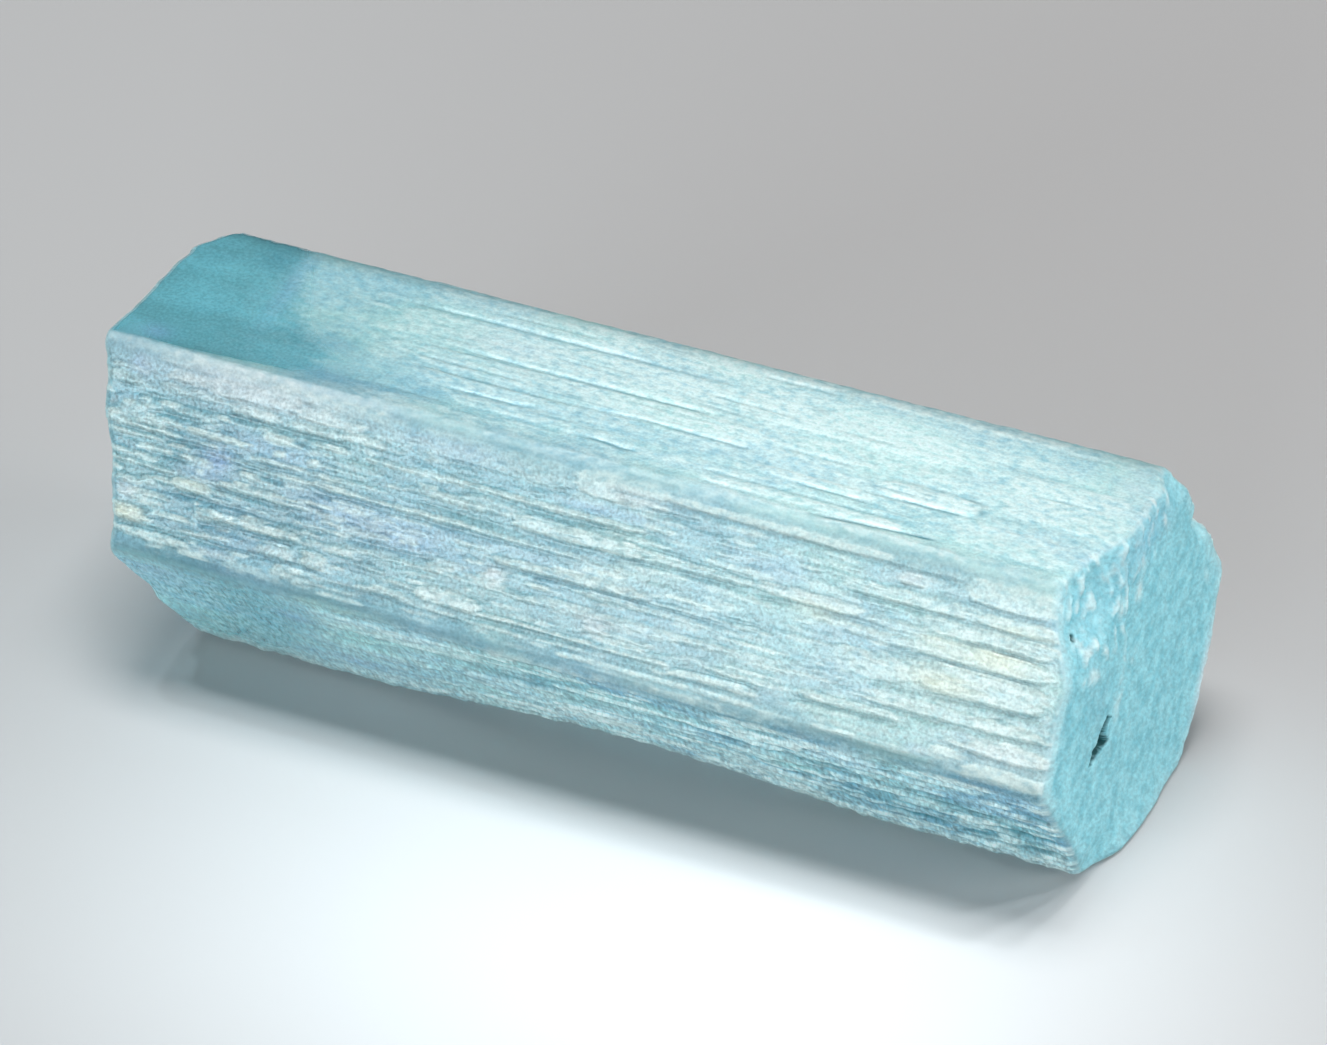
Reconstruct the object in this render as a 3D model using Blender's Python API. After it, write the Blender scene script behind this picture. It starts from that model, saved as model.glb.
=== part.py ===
"""Aquamarine crystal: one hexagonal prism of beryl lying on a flat side.

Metres, +Z up, +X along the crystal. The origin is under the middle of the crystal, in
the plane of the side that it rests on. Each of the prism's six sides is laid out as
rows of long flat laths, the way the mineral grows, and each lath is raised off the bed
by its own small step. The two ends are blunt broken faces with worn rims.

The layout is in millimetres, in a frame whose X starts near the middle of the length.
"""

import math
import random

import bmesh
import bpy
from mathutils import Vector, noise

MM = 0.001

# Driving dimensions, in millimetres.
ACROSS_FLATS = 16.9
# Depth of the bed that the laths stand on, under the prism's nominal flats.
LATH_BED = 0.12
EDGE_WEAR = 0.32
LATH_BEVEL = 0.11
# Laths keep this far from each other's corners, from the ends, and this long.
BREAK_CLEARANCE = 0.35
END_CLEARANCE = 1.6
SHORTEST_LATH = 1.1
BLUNT_SLANT = 0.45
SEED = 29
# Middle of the crystal's box in the layout's own frame, in X and Y.
MIDDLE = (-0.554, -0.018)

APOTHEM = ACROSS_FLATS / 2
CIRCUMRADIUS = APOTHEM / math.cos(math.pi / 6)

# Long edges of the prism, going round from the top back one, by their angle in degrees.
CORNER_ANGLES = {
    "top_back": 60.0,
    "top_front": 120.0,
    "front": 180.0,
    "bottom_front": 240.0,
    "bottom_back": 300.0,
    "back": 360.0,
}

# How far (Y, Z) a long edge has spread by the right end, where the section is fuller.
FULLER_RIGHT = {"top_back": (0.30, 0.12), "top_front": (-0.15, 0.0)}
FULLER_FROM = -25.0
FULLER_OVER = 50.0

# The bottom front edge is scalloped away between its two ends, by a share of the side
# above it. SCALLOP_FOOT is the share of the underside that slopes up to meet it.
SCALLOP_START = -11.5
SCALLOP_END = 14.0
SCALLOP_DEPTH = 0.18
SCALLOP_WEAR = 0.03
SCALLOP_SHARPNESS = 1.3
SCALLOP_FOOT = 0.24

# Each end is a flat break: X at the section's middle, and its lean per mm of Y and of Z.
END_PLANES = {1: (24.30, 0.078, -0.046), -1: (-24.2, 0.03, -0.23)}
# Pieces knocked off each end: middle (Y, Z), reach, depth.
END_CHIPS = {
    1: (
        (-4.9, 17.0, 4.6, 1.25),
        (5.4, 17.2, 2.4, 1.0),
        (-5.0, 0.0, 3.0, 0.8),
        (7.6, 12.9, 1.3, 0.7),
    ),
    -1: (
        (5.0, 17.4, 2.2, 1.6),
        (-5.6, 15.6, 1.8, 0.25),
        (-7.4, 4.4, 1.6, 0.30),
        (-4.4, 0.0, 2.0, 0.30),
        (2.0, 9.0, 5.0, 0.8),
        (9.8, 8.0, 3.0, 1.1),
    ),
}
CHIP_SHARPNESS = 1.5
END_LUMP = {1: 0.09, -1: 0.30}
END_LUMP_PITCH = 2.6
END_LUMP_SHIFT = 7.0
RIM_ROUND = 0.40
# Rings of each end: (scale about the middle, share of the rim's rounding still to climb).
END_RINGS = (
    (0.986, 0.30), (0.958, 0.0), (0.86, 0.0), (0.72, 0.0), (0.56, 0.0), (0.38, 0.0), (0.18, 0.0)
)

# Each side's laths: the place across the side where a lath row ends, then the places
# along X where one lath stops and the next starts.
TOP_ROWS = (
    (0.09, (-19.8, 4.0, 8.5, 19.0)),
    (0.20, (-19.4, -6.0, 3.2, 14.5)),
    (0.32, (-18.9, 1.6, 7.0)),
    (0.455, (-18.4, -10.0, 2.6, 14.0)),
    (0.62, (-18.0, -12.0, 5.6, 11.8, 17.0)),
    (0.70, (-17.6, -5.6, 12.0, 17.1)),
    (0.84, (-17.8, -9.0, 0.6, 8.0, 14.0)),
    (0.92, (-15.5, -2.0, 4.0, 15.6)),
    (1.00, (-19.5, -7.0, 10.0, 18.0)),
)
UPPER_FRONT_ROWS = (
    (0.09, (-22.0, -12.0, 0.0, 12.0, 18.0)),
    (0.20, (-23.0, -12.2, -8.5, 4.6, 14.4, 18.2)),
    (0.275, (-12.0, 2.5, 12.3)),
    (0.38, (-23.5, -18.4, -10.0, -4.0, 8.0, 13.2, 16.2)),
    (0.475, (-22.0, -17.6, -13.0, 0.2, 7.8, 14.0, 16.0)),
    (0.60, (-22.3, -19.0, -14.8, -4.8, 9.5, 12.3)),
    (0.685, (-21.3, -19.4, -12.5, -5.0, 7.4, 14.0, 19.0)),
    (0.78, (-20.0, -14.5, -11.8, -4.2, -1.8, 11.4, 18.8)),
    (0.86, (-22.5, -14.6, -13.2, -8.2, -5.1, 4.8, 9.6, 11.3, 16.4)),
    (0.93, (-20.0, -15.1, -11.5, -5.3, 5.5, 9.0, 13.0, 18.0)),
    (1.00, (-19.8, -13.0, -3.0, 10.0, 19.4)),
)
LOWER_FRONT_ROWS = (
    (0.17, (-15.5, -3.9, 1.8, 8.0, 11.2, 17.6)),
    (0.28, (-16.5, -11.6, -5.0, 7.9, 11.4, 19.8)),
    (0.38, (-17.0, -9.6, -1.2, 10.3, 20.2)),
    (0.50, (-17.5, -5.2, 3.0, 12.4, 15.9)),
    (0.62, (-16.0, -6.8, 1.6, 9.9, 20.3)),
    (0.80, (-14.0, 0.2, 6.8, 14.7, 17.7)),
    (1.00, (-12.0, -3.0, 9.5, 18.2)),
)
UNDERSIDE_ROWS = (
    (SCALLOP_FOOT, (-13.0, -2.0, 8.0)),
    (0.40, (-15.0, 4.0, 16.0)),
    (0.66, (-11.0, 11.0)),
    (0.82, (-17.0, -4.0, 9.0)),
    (1.00, (-9.0, 5.0, 17.0)),
)
# The two back sides have narrow rows whose laths stop at chance.
ROWS_ON_BACK_SIDES = 11
BACK_LATHS_FROM = -22.0
BACK_LATHS_TO = 21.0
BACK_LATH_LENGTH = (3.5, 12.0)
BACK_ROW_SHIFT = 0.022

# How far the laths of each side stand proud of the bed, smallest and largest.
LATH_RISE = {
    "top": (0.02, 0.10),
    "upper_front": (0.04, 0.24),
    "lower_front": (0.03, 0.20),
    "underside": (LATH_BED, LATH_BED),
    "lower_back": (0.03, 0.20),
    "upper_back": (0.03, 0.20),
}
# One overgrown plate on the upper back side makes the step in the end's outline.
PLATE_START = 0.50
PLATE_END = 0.78
PLATE_RISE = 0.36
# The clear windows at the left end of these sides carry no laths.
SMOOTH_LEFT_END = ("top", "lower_front")

# The open crack in the right end, as its mouth outline in (Y, Z) and its depth.
CRACK_MOUTH = (
    (-4.00, 6.42), (-3.70, 6.20), (-3.10, 6.45), (-2.45, 6.15), (-2.62, 6.75),
    (-2.25, 7.20), (-1.82, 7.92), (-2.10, 8.00), (-2.75, 7.25), (-3.35, 6.95),
)
CRACK_DEPTH = 1.5
CRACK_FLOOR_SCALE = 0.35
PIT_PLACE = (-5.1, 14.3)
PIT_RADIUS = 0.30
PIT_DEPTH = 0.8
PIT_SIDES = 7
CUTTER_REACH = 1.5

# Clear pale blue beryl.
STONE_COLOUR = (0.42, 0.74, 0.80, 1.0)
STONE_ROUGHNESS = 0.35
STONE_IOR = 1.577
STONE_TRANSMISSION = 0.6

# What counts as a long prism edge: how squarely it runs along X, and its least angle.
ALONG_CRYSTAL = 0.9
PRISM_EDGE_ANGLE = math.radians(35.0)

SIDES = ("top", "upper_front", "lower_front", "underside", "lower_back", "upper_back")


def clear_scene():
    """Remove every object of the scene."""
    for thing in list(bpy.data.objects):
        bpy.data.objects.remove(thing, do_unlink=True)


def in_metres(point):
    """A layout point in metres, in the part's own frame."""
    return (point - Vector((*MIDDLE, 0.0))) * MM


def stone_material():
    """Pale blue clear beryl."""
    material = bpy.data.materials.new("aquamarine")
    material.use_nodes = True
    shader = material.node_tree.nodes["Principled BSDF"]
    shader.inputs["Base Color"].default_value = STONE_COLOUR
    shader.inputs["Roughness"].default_value = STONE_ROUGHNESS
    shader.inputs["IOR"].default_value = STONE_IOR
    shader.inputs["Transmission Weight"].default_value = STONE_TRANSMISSION
    material.diffuse_color = STONE_COLOUR
    return material


def end_x(direction, y, z):
    """X of one end's broken surface over a place of the section."""
    middle, lean_y, lean_z = END_PLANES[direction]
    x = middle + lean_y * y + lean_z * (z - APOTHEM)
    for chip_y, chip_z, reach, depth in END_CHIPS[direction]:
        away = math.hypot(y - chip_y, z - chip_z) / reach
        if away < 1.0:
            x -= direction * depth * (1.0 - away * away) ** CHIP_SHARPNESS
    place = Vector((direction * END_LUMP_SHIFT, y, z)) / END_LUMP_PITCH
    return x + noise.noise(place) * END_LUMP[direction]


def rim_x(direction, place):
    """X where the prism stops and its end starts to round, at a place round the section."""
    x = END_PLANES[direction][0]
    point = section_point(place, x)
    return end_x(direction, point.y, point.z) - direction * RIM_ROUND


def scallop(x):
    """How far the bottom front edge is worn back up the lower front side, 0 to 1."""
    share = (x - SCALLOP_START) / (SCALLOP_END - SCALLOP_START)
    if not 0.0 < share < 1.0:
        return 0.0
    return math.sin(math.pi * share) ** SCALLOP_SHARPNESS


def corner(name, x):
    """Place (Y, Z) of one long edge of the bed at X."""
    angle = math.radians(CORNER_ANGLES[name])
    radius = (APOTHEM - LATH_BED) / math.cos(math.pi / 6)
    y = radius * math.cos(angle)
    z = radius * math.sin(angle) + APOTHEM
    spread_y, spread_z = FULLER_RIGHT.get(name, (0.0, 0.0))
    y += spread_y * (x - FULLER_FROM) / FULLER_OVER
    z += spread_z * (x - FULLER_FROM) / FULLER_OVER
    if name == "bottom_front":
        front_y, front_z = corner("front", x)
        share = SCALLOP_WEAR + SCALLOP_DEPTH * scallop(x)
        y += (front_y - y) * share
        z += (front_z - z) * share
    return y, z


def section_point(place, x):
    """Point of the bed at a place round the section (0 to 6) and at X."""
    names = list(CORNER_ANGLES)
    side = int(place) % len(names)
    share = place - int(place)
    y0, z0 = corner(names[side], x)
    y1, z1 = corner(names[(side + 1) % len(names)], x)
    if SIDES[side] == "underside":
        flat_z = corner("bottom_back", x)[1]
        foot_y = -CIRCUMRADIUS / 2 + CIRCUMRADIUS * SCALLOP_FOOT
        if share <= SCALLOP_FOOT:
            part = share / SCALLOP_FOOT
            return Vector((x, y0 + (foot_y - y0) * part, z0 + (flat_z - z0) * part))
        part = (share - SCALLOP_FOOT) / (1.0 - SCALLOP_FOOT)
        return Vector((x, foot_y + (y1 - foot_y) * part, flat_z))
    return Vector((x, y0 + (y1 - y0) * share, z0 + (z1 - z0) * share))


def back_rows(rng):
    """Lath rows of a side that grew with no marked ledges."""
    rows = []
    for row in range(1, ROWS_ON_BACK_SIDES + 1):
        edge = row / ROWS_ON_BACK_SIDES
        if row < ROWS_ON_BACK_SIDES:
            edge += rng.uniform(-BACK_ROW_SHIFT, BACK_ROW_SHIFT)
        stops = []
        x = BACK_LATHS_FROM + rng.uniform(0.0, BACK_LATH_LENGTH[1])
        while x < BACK_LATHS_TO:
            stops.append(x)
            x += rng.uniform(*BACK_LATH_LENGTH)
        rows.append((edge, tuple(stops)))
    return tuple(rows)


def all_rows(rng):
    """Every lath row round the crystal as (first place, last place, stops, side name)."""
    tables = {
        "top": TOP_ROWS,
        "upper_front": UPPER_FRONT_ROWS,
        "lower_front": LOWER_FRONT_ROWS,
        "underside": UNDERSIDE_ROWS,
        "lower_back": back_rows(rng),
        "upper_back": back_rows(rng),
    }
    rows = []
    for number, side in enumerate(SIDES):
        start = 0.0
        for edge, stops in tables[side]:
            rows.append((number + start, number + edge, stops, side))
            start = edge
    return rows


def fitting_stops(row, following_start):
    """The row's stops that leave whole laths at both ends and between each other."""
    start, _, stops, _ = row
    left = max(rim_x(-1, start), rim_x(-1, following_start)) + END_CLEARANCE
    right = min(rim_x(1, start), rim_x(1, following_start)) - END_CLEARANCE
    kept = []
    for x in stops:
        if left < x < right and (not kept or x - kept[-1] > SHORTEST_LATH):
            kept.append(x)
    return kept


def line_stations(start, own_stops, earlier_stops, rng):
    """Points along the line between two rows, and which point each row's stop became."""
    wanted = []
    for owner, stops in (("own", own_stops), ("earlier", earlier_stops)):
        for index, x in enumerate(stops):
            wanted.append((x + rng.uniform(-BLUNT_SLANT, BLUNT_SLANT), owner, index))
    places = [rim_x(-1, start)]
    became = {}
    for x, owner, index in sorted(wanted):
        became[owner, index] = len(places)
        places.append(max(x, places[-1] + BREAK_CLEARANCE))
    places.append(rim_x(1, start))
    return places, became


def lath_rise(side, start, index, rng):
    """How far one lath of a row stands off the bed."""
    rise = rng.uniform(*LATH_RISE[side])
    if side in SMOOTH_LEFT_END and index == 0:
        return 0.0
    if side == "upper_back" and PLATE_START < start % 1.0 < PLATE_END and index > 0:
        rise += PLATE_RISE
    return rise


def build_sides(bm, rows, rng):
    """Make the bed's laths as flat polygons and return each with its rise."""
    count = len(rows)
    stops = [fitting_stops(row, rows[(number + 1) % count][0]) for number, row in enumerate(rows)]
    stations = []
    verts = []
    for number, row in enumerate(rows):
        places, became = line_stations(row[0], stops[number], stops[number - 1], rng)
        stations.append(became)
        verts.append([bm.verts.new(section_point(row[0], x)) for x in places])
    laths = []
    for number, (start, _, _, side) in enumerate(rows):
        following = (number + 1) % count
        laths_in_row = len(stops[number]) + 1
        near = [stations[number]["own", index] for index in range(laths_in_row - 1)]
        far = [stations[following]["earlier", index] for index in range(laths_in_row - 1)]
        near = [0] + near + [len(verts[number]) - 1]
        far = [0] + far + [len(verts[following]) - 1]
        for index in range(laths_in_row):
            loop = [verts[number][near[index]]]
            loop += verts[following][far[index]:far[index + 1] + 1]
            loop += verts[number][near[index + 1]:near[index]:-1]
            laths.append((bm.faces.new(loop), lath_rise(side, start, index, rng)))
    return laths


def open_rim(bm, direction):
    """The open boundary loop at one end, in order round the section."""
    edges = [e for e in bm.edges if e.is_boundary and e.verts[0].co.x * direction > 0.0]
    start = edges[0].verts[0]
    loop = [start]
    edge = edges[0]
    current = edge.other_vert(start)
    while current is not start:
        loop.append(current)
        edge = next(e for e in current.link_edges if e.is_boundary and e is not edge)
        current = edge.other_vert(current)
    turn = sum(
        a.co.y * b.co.z - b.co.y * a.co.z for a, b in zip(loop, loop[1:] + loop[:1])
    )
    if turn * direction < 0.0:
        loop.reverse()
    return loop


def cap_end(bm, direction):
    """Close one end with rings that round its rim and follow its broken surface."""
    face = bm.faces.new(open_rim(bm, direction))
    size = 1.0
    for scale, still_round in END_RINGS:
        made = bmesh.ops.extrude_face_region(bm, geom=[face])
        bmesh.ops.delete(bm, geom=[face], context="FACES_ONLY")
        face = next(part for part in made["geom"] if isinstance(part, bmesh.types.BMFace))
        for vert in face.verts:
            y = vert.co.y * scale / size
            z = APOTHEM + (vert.co.z - APOTHEM) * scale / size
            x = end_x(direction, y, z) - direction * RIM_ROUND * still_round
            vert.co = Vector((x, y, z))
        size = scale
    hub = bmesh.ops.poke(bm, faces=[face])["verts"][0]
    hub.co.x = end_x(direction, hub.co.y, hub.co.z)


def wear_long_edges(bm):
    """Blunt the six long edges of the prism."""
    bmesh.ops.bevel(
        bm,
        geom=long_corner_edges(bm),
        offset=EDGE_WEAR,
        offset_type="OFFSET",
        segments=2,
        profile=0.5,
        affect="EDGES",
        clamp_overlap=True,
    )


def long_corner_edges(bm):
    """Edges along the prism whose two sides meet at a marked angle."""
    edges = []
    for edge in bm.edges:
        along = (edge.verts[0].co - edge.verts[1].co).normalized()
        if abs(along.x) > ALONG_CRYSTAL and edge.calc_face_angle(0.0) > PRISM_EDGE_ANGLE:
            edges.append(edge)
    return edges


def raise_laths(bm, laths):
    """Step each lath up off the bed, with a sloping wall round it."""
    for face, rise in laths:
        if rise <= 0.0 or not face.is_valid:
            continue
        bmesh.ops.inset_individual(
            bm, faces=[face], thickness=LATH_BEVEL, depth=rise, use_even_offset=True
        )


def crystal_mesh():
    """The whole crystal as one closed mesh in metres."""
    rng = random.Random(SEED)
    bm = bmesh.new()
    laths = build_sides(bm, all_rows(rng), rng)
    wear_long_edges(bm)
    cap_end(bm, -1)
    cap_end(bm, 1)
    raise_laths(bm, laths)
    bmesh.ops.triangulate(bm, faces=bm.faces[:], quad_method="BEAUTY", ngon_method="BEAUTY")
    for vert in bm.verts:
        vert.co = in_metres(vert.co)
    mesh = bpy.data.meshes.new("aquamarine_crystal")
    bm.to_mesh(mesh)
    bm.free()
    return mesh


def cutter(name, rings):
    """A closed hidden solid through a list of rings of points in millimetres."""
    bm = bmesh.new()
    loops = [[bm.verts.new(in_metres(Vector(point))) for point in ring] for ring in rings]
    for outer, inner in zip(loops, loops[1:]):
        for index in range(len(outer)):
            after = (index + 1) % len(outer)
            bm.faces.new((outer[index], outer[after], inner[after], inner[index]))
    bm.faces.new(loops[0])
    bm.faces.new(loops[-1])
    bmesh.ops.recalc_face_normals(bm, faces=bm.faces[:])
    mesh = bpy.data.meshes.new(name)
    bm.to_mesh(mesh)
    bm.free()
    solid = bpy.data.objects.new(name, mesh)
    solid.hide_render = True
    solid.display_type = "WIRE"
    bpy.context.scene.collection.objects.link(solid)
    return solid


def crack_cutter():
    """The open crack, which narrows from its mouth in the right end to its floor."""
    middle_y = sum(y for y, _ in CRACK_MOUTH) / len(CRACK_MOUTH)
    middle_z = sum(z for _, z in CRACK_MOUTH) / len(CRACK_MOUTH)
    face_x = end_x(1, middle_y, middle_z)
    rings = []
    for x, scale in (
        (face_x + CUTTER_REACH, 1.0),
        (face_x, 1.0),
        (face_x - CRACK_DEPTH, CRACK_FLOOR_SCALE),
    ):
        ring = [
            (x, middle_y + (y - middle_y) * scale, middle_z + (z - middle_z) * scale)
            for y, z in CRACK_MOUTH
        ]
        rings.append(ring)
    return cutter("crack_cutter", rings)


def pit_cutter():
    """The small etch pit near the right end's top front corner."""
    y, z = PIT_PLACE
    face_x = end_x(1, y, z)
    rings = []
    for x, radius in (
        (face_x + CUTTER_REACH, PIT_RADIUS),
        (face_x, PIT_RADIUS),
        (face_x - PIT_DEPTH, PIT_RADIUS * CRACK_FLOOR_SCALE),
    ):
        ring = []
        for step in range(PIT_SIDES):
            turn = 2.0 * math.pi * step / PIT_SIDES
            ring.append((x, y + radius * math.cos(turn), z + radius * math.sin(turn)))
        rings.append(ring)
    return cutter("pit_cutter", rings)


def cut(solid, tool):
    """Take the tool's shape out of the solid."""
    modifier = solid.modifiers.new(tool.name, "BOOLEAN")
    modifier.operation = "DIFFERENCE"
    modifier.solver = "EXACT"
    modifier.object = tool


def main():
    """Build the crystal."""
    clear_scene()
    crystal = bpy.data.objects.new("aquamarine_crystal", crystal_mesh())
    crystal.data.materials.append(stone_material())
    bpy.context.scene.collection.objects.link(crystal)
    cut(crystal, crack_cutter())
    cut(crystal, pit_cutter())


main()
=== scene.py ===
"""Dresses the aquamarine crystal: its laths, its broken ends, its stone and a studio.

The crystal is a six-sided prism of beryl lying on one side. Each side carries raised laths
that run along the crystal. The layout below is in millimetres, with X along the crystal and
shares (0 to 1) across a side. The last step moves it into the part's own frame, in metres.
"""

import logging
import math
import random
from dataclasses import dataclass
from enum import Enum

import bpy
import numpy as np
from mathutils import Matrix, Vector, noise

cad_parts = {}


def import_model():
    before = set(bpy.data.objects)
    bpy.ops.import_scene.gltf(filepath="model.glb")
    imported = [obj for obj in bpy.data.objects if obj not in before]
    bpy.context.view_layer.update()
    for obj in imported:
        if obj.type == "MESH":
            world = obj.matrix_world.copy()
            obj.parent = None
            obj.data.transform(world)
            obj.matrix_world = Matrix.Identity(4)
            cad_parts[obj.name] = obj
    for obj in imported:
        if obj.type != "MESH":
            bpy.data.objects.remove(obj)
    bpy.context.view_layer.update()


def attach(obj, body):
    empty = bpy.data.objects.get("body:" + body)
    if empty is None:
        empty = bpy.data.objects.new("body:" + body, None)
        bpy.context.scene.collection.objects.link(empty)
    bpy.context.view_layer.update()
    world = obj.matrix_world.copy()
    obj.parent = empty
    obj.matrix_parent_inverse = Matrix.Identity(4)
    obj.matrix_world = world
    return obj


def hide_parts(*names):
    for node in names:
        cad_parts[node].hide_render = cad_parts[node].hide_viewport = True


LOG = logging.getLogger("aquamarine")
MM = 0.001
NODE = "aquamarine_crystal"


class Side(Enum):
    """The six sides of the prism, going round from the one on top."""

    TOP = 0
    UPPER_FRONT = 1
    LOWER_FRONT = 2
    UNDERSIDE = 3
    LOWER_BACK = 4
    UPPER_BACK = 5


class End(Enum):
    """The two broken ends, by the direction that each faces along X."""

    LEFT = -1
    RIGHT = 1


class Mask(Enum):
    """What is stored at each point of the surface for the stone to read."""

    FROST = "frost"
    LINES = "lines"
    SPECKLE = "speckle"
    CHIPS = "chips"
    # Painted light and shade: each side painted lighter or darker as the lights would make it.
    SIDE_LIGHT_AND_SHADE = "tone"
    # Worn edges: rougher, and darkened by painted shade.
    WORN_AND_SHADED = "worn_and_shaded"
    MILK = "milk"
    # Painted highlight: whitening where light would catch lath flats and crests.
    CREST_HIGHLIGHT = "crest_highlight"
    # Painted shade: darkening in grooves, under and round laths, and in holes.
    GROOVE_SHADE = "groove_shade"
    BROKEN = "broken"
    DEEP = "deep"
    ROSE = "rose"
    STRAW = "straw"
    LILAC = "lilac"


@dataclass(frozen=True)
class Lath:
    """One raised lath of a side.

    start and end are places along the crystal in mm, upper and lower are shares across the
    side, rise is in mm, and the last field is how strongly painted highlight whitens its flat.
    """

    start: float
    end: float
    upper: float
    lower: float
    rise: float = 0.10
    bright: float = 0.7


@dataclass(frozen=True)
class Groove:
    """One thin groove cut along a side, darkened by painted shade, which may slant from one share to another."""

    start: float
    end: float
    share: float
    share_at_end: float
    # How dark the painted shade in the groove is.
    painted_shade: float = 0.7
    width: float = 0.09
    depth: float = 0.05


@dataclass(frozen=True)
class Rows:
    """Rows of short laths that cover part of a side.

    The numbers are ranges: along the crystal, across the side, of the lengths, the gaps
    between them, the shares that each row takes up, how strongly painted highlight whitens them, and how high they are.
    """

    along: tuple[float, float]
    across: tuple[float, float]
    length: tuple[float, float]
    gap: tuple[float, float]
    thick: tuple[float, float] = (0.026, 0.044)
    bright: tuple[float, float] = (0.4, 1.0)
    rise: tuple[float, float] = (0.03, 0.09)

    def laths(self, seed: int) -> list[Lath]:
        """Lay the rows out.

        Args:
            seed: Picks one layout.

        Returns:
            The laths.
        """
        rng = random.Random(seed)
        made = []
        share = self.across[0]
        while share < self.across[1]:
            thick = rng.uniform(*self.thick)
            x = self.along[0] + rng.uniform(-1.5, 1.0)
            while x < self.along[1]:
                length = rng.uniform(*self.length)
                sway = rng.uniform(-0.006, 0.006)
                body = thick * rng.uniform(0.65, 1.0)
                bright, rise = rng.uniform(*self.bright), rng.uniform(*self.rise)
                made.append(Lath(x, x + length, share + sway, share + sway + body, rise, bright))
                x += length + rng.uniform(*self.gap)
            share += thick + rng.uniform(0.004, 0.016)
        return made


@dataclass(frozen=True)
class Cloud:
    """A soft patch on one side where one mask is stronger."""

    mask: Mask
    x: float
    share: float
    reach: float
    reach_across: float
    strength: float


@dataclass(frozen=True)
# A patch of the crest mask on an end is painted highlight; patches of the other masks are colour.
class EndPatch:
    """A soft patch on an end where one mask is stronger, at (Y, Z) in mm and turned."""

    mask: Mask
    y: float
    z: float
    long: float
    short: float
    turn: float
    strength: float


@dataclass(frozen=True)
class Chip:
    """A piece knocked off an end: its middle (Y, Z), its reach and its depth in mm."""

    y: float
    z: float
    reach: float
    depth: float


def smoothstep(low: float, high: float, value: np.ndarray) -> np.ndarray:
    """A smooth rise from 0 at low to 1 at high.

    Args:
        low: Value where the rise starts.
        high: Value where the rise ends.
        value: Values to map.

    Returns:
        The mapped values, 0 to 1.
    """
    share = np.clip((value - low) / (high - low), 0.0, 1.0)
    return share * share * (3.0 - 2.0 * share)


def ripple(a: np.ndarray, b: np.ndarray, pitch_a: float, pitch_b: float, seed: float) -> np.ndarray:
    """Smooth noise over a surface.

    Args:
        a: First coordinate in mm.
        b: Second coordinate in mm.
        pitch_a: Size of the ripples along the first coordinate in mm.
        pitch_b: Size of the ripples along the second coordinate in mm.
        seed: Which slice of the noise to read.

    Returns:
        Noise about -1 to 1 at each point.
    """
    points = zip((a / pitch_a).tolist(), (b / pitch_b).tolist())
    return np.array([noise.noise(Vector((p, q, seed))) for p, q in points])


# --------------------------------------------------------------------------------------
# The form of the prism
# --------------------------------------------------------------------------------------


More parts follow.
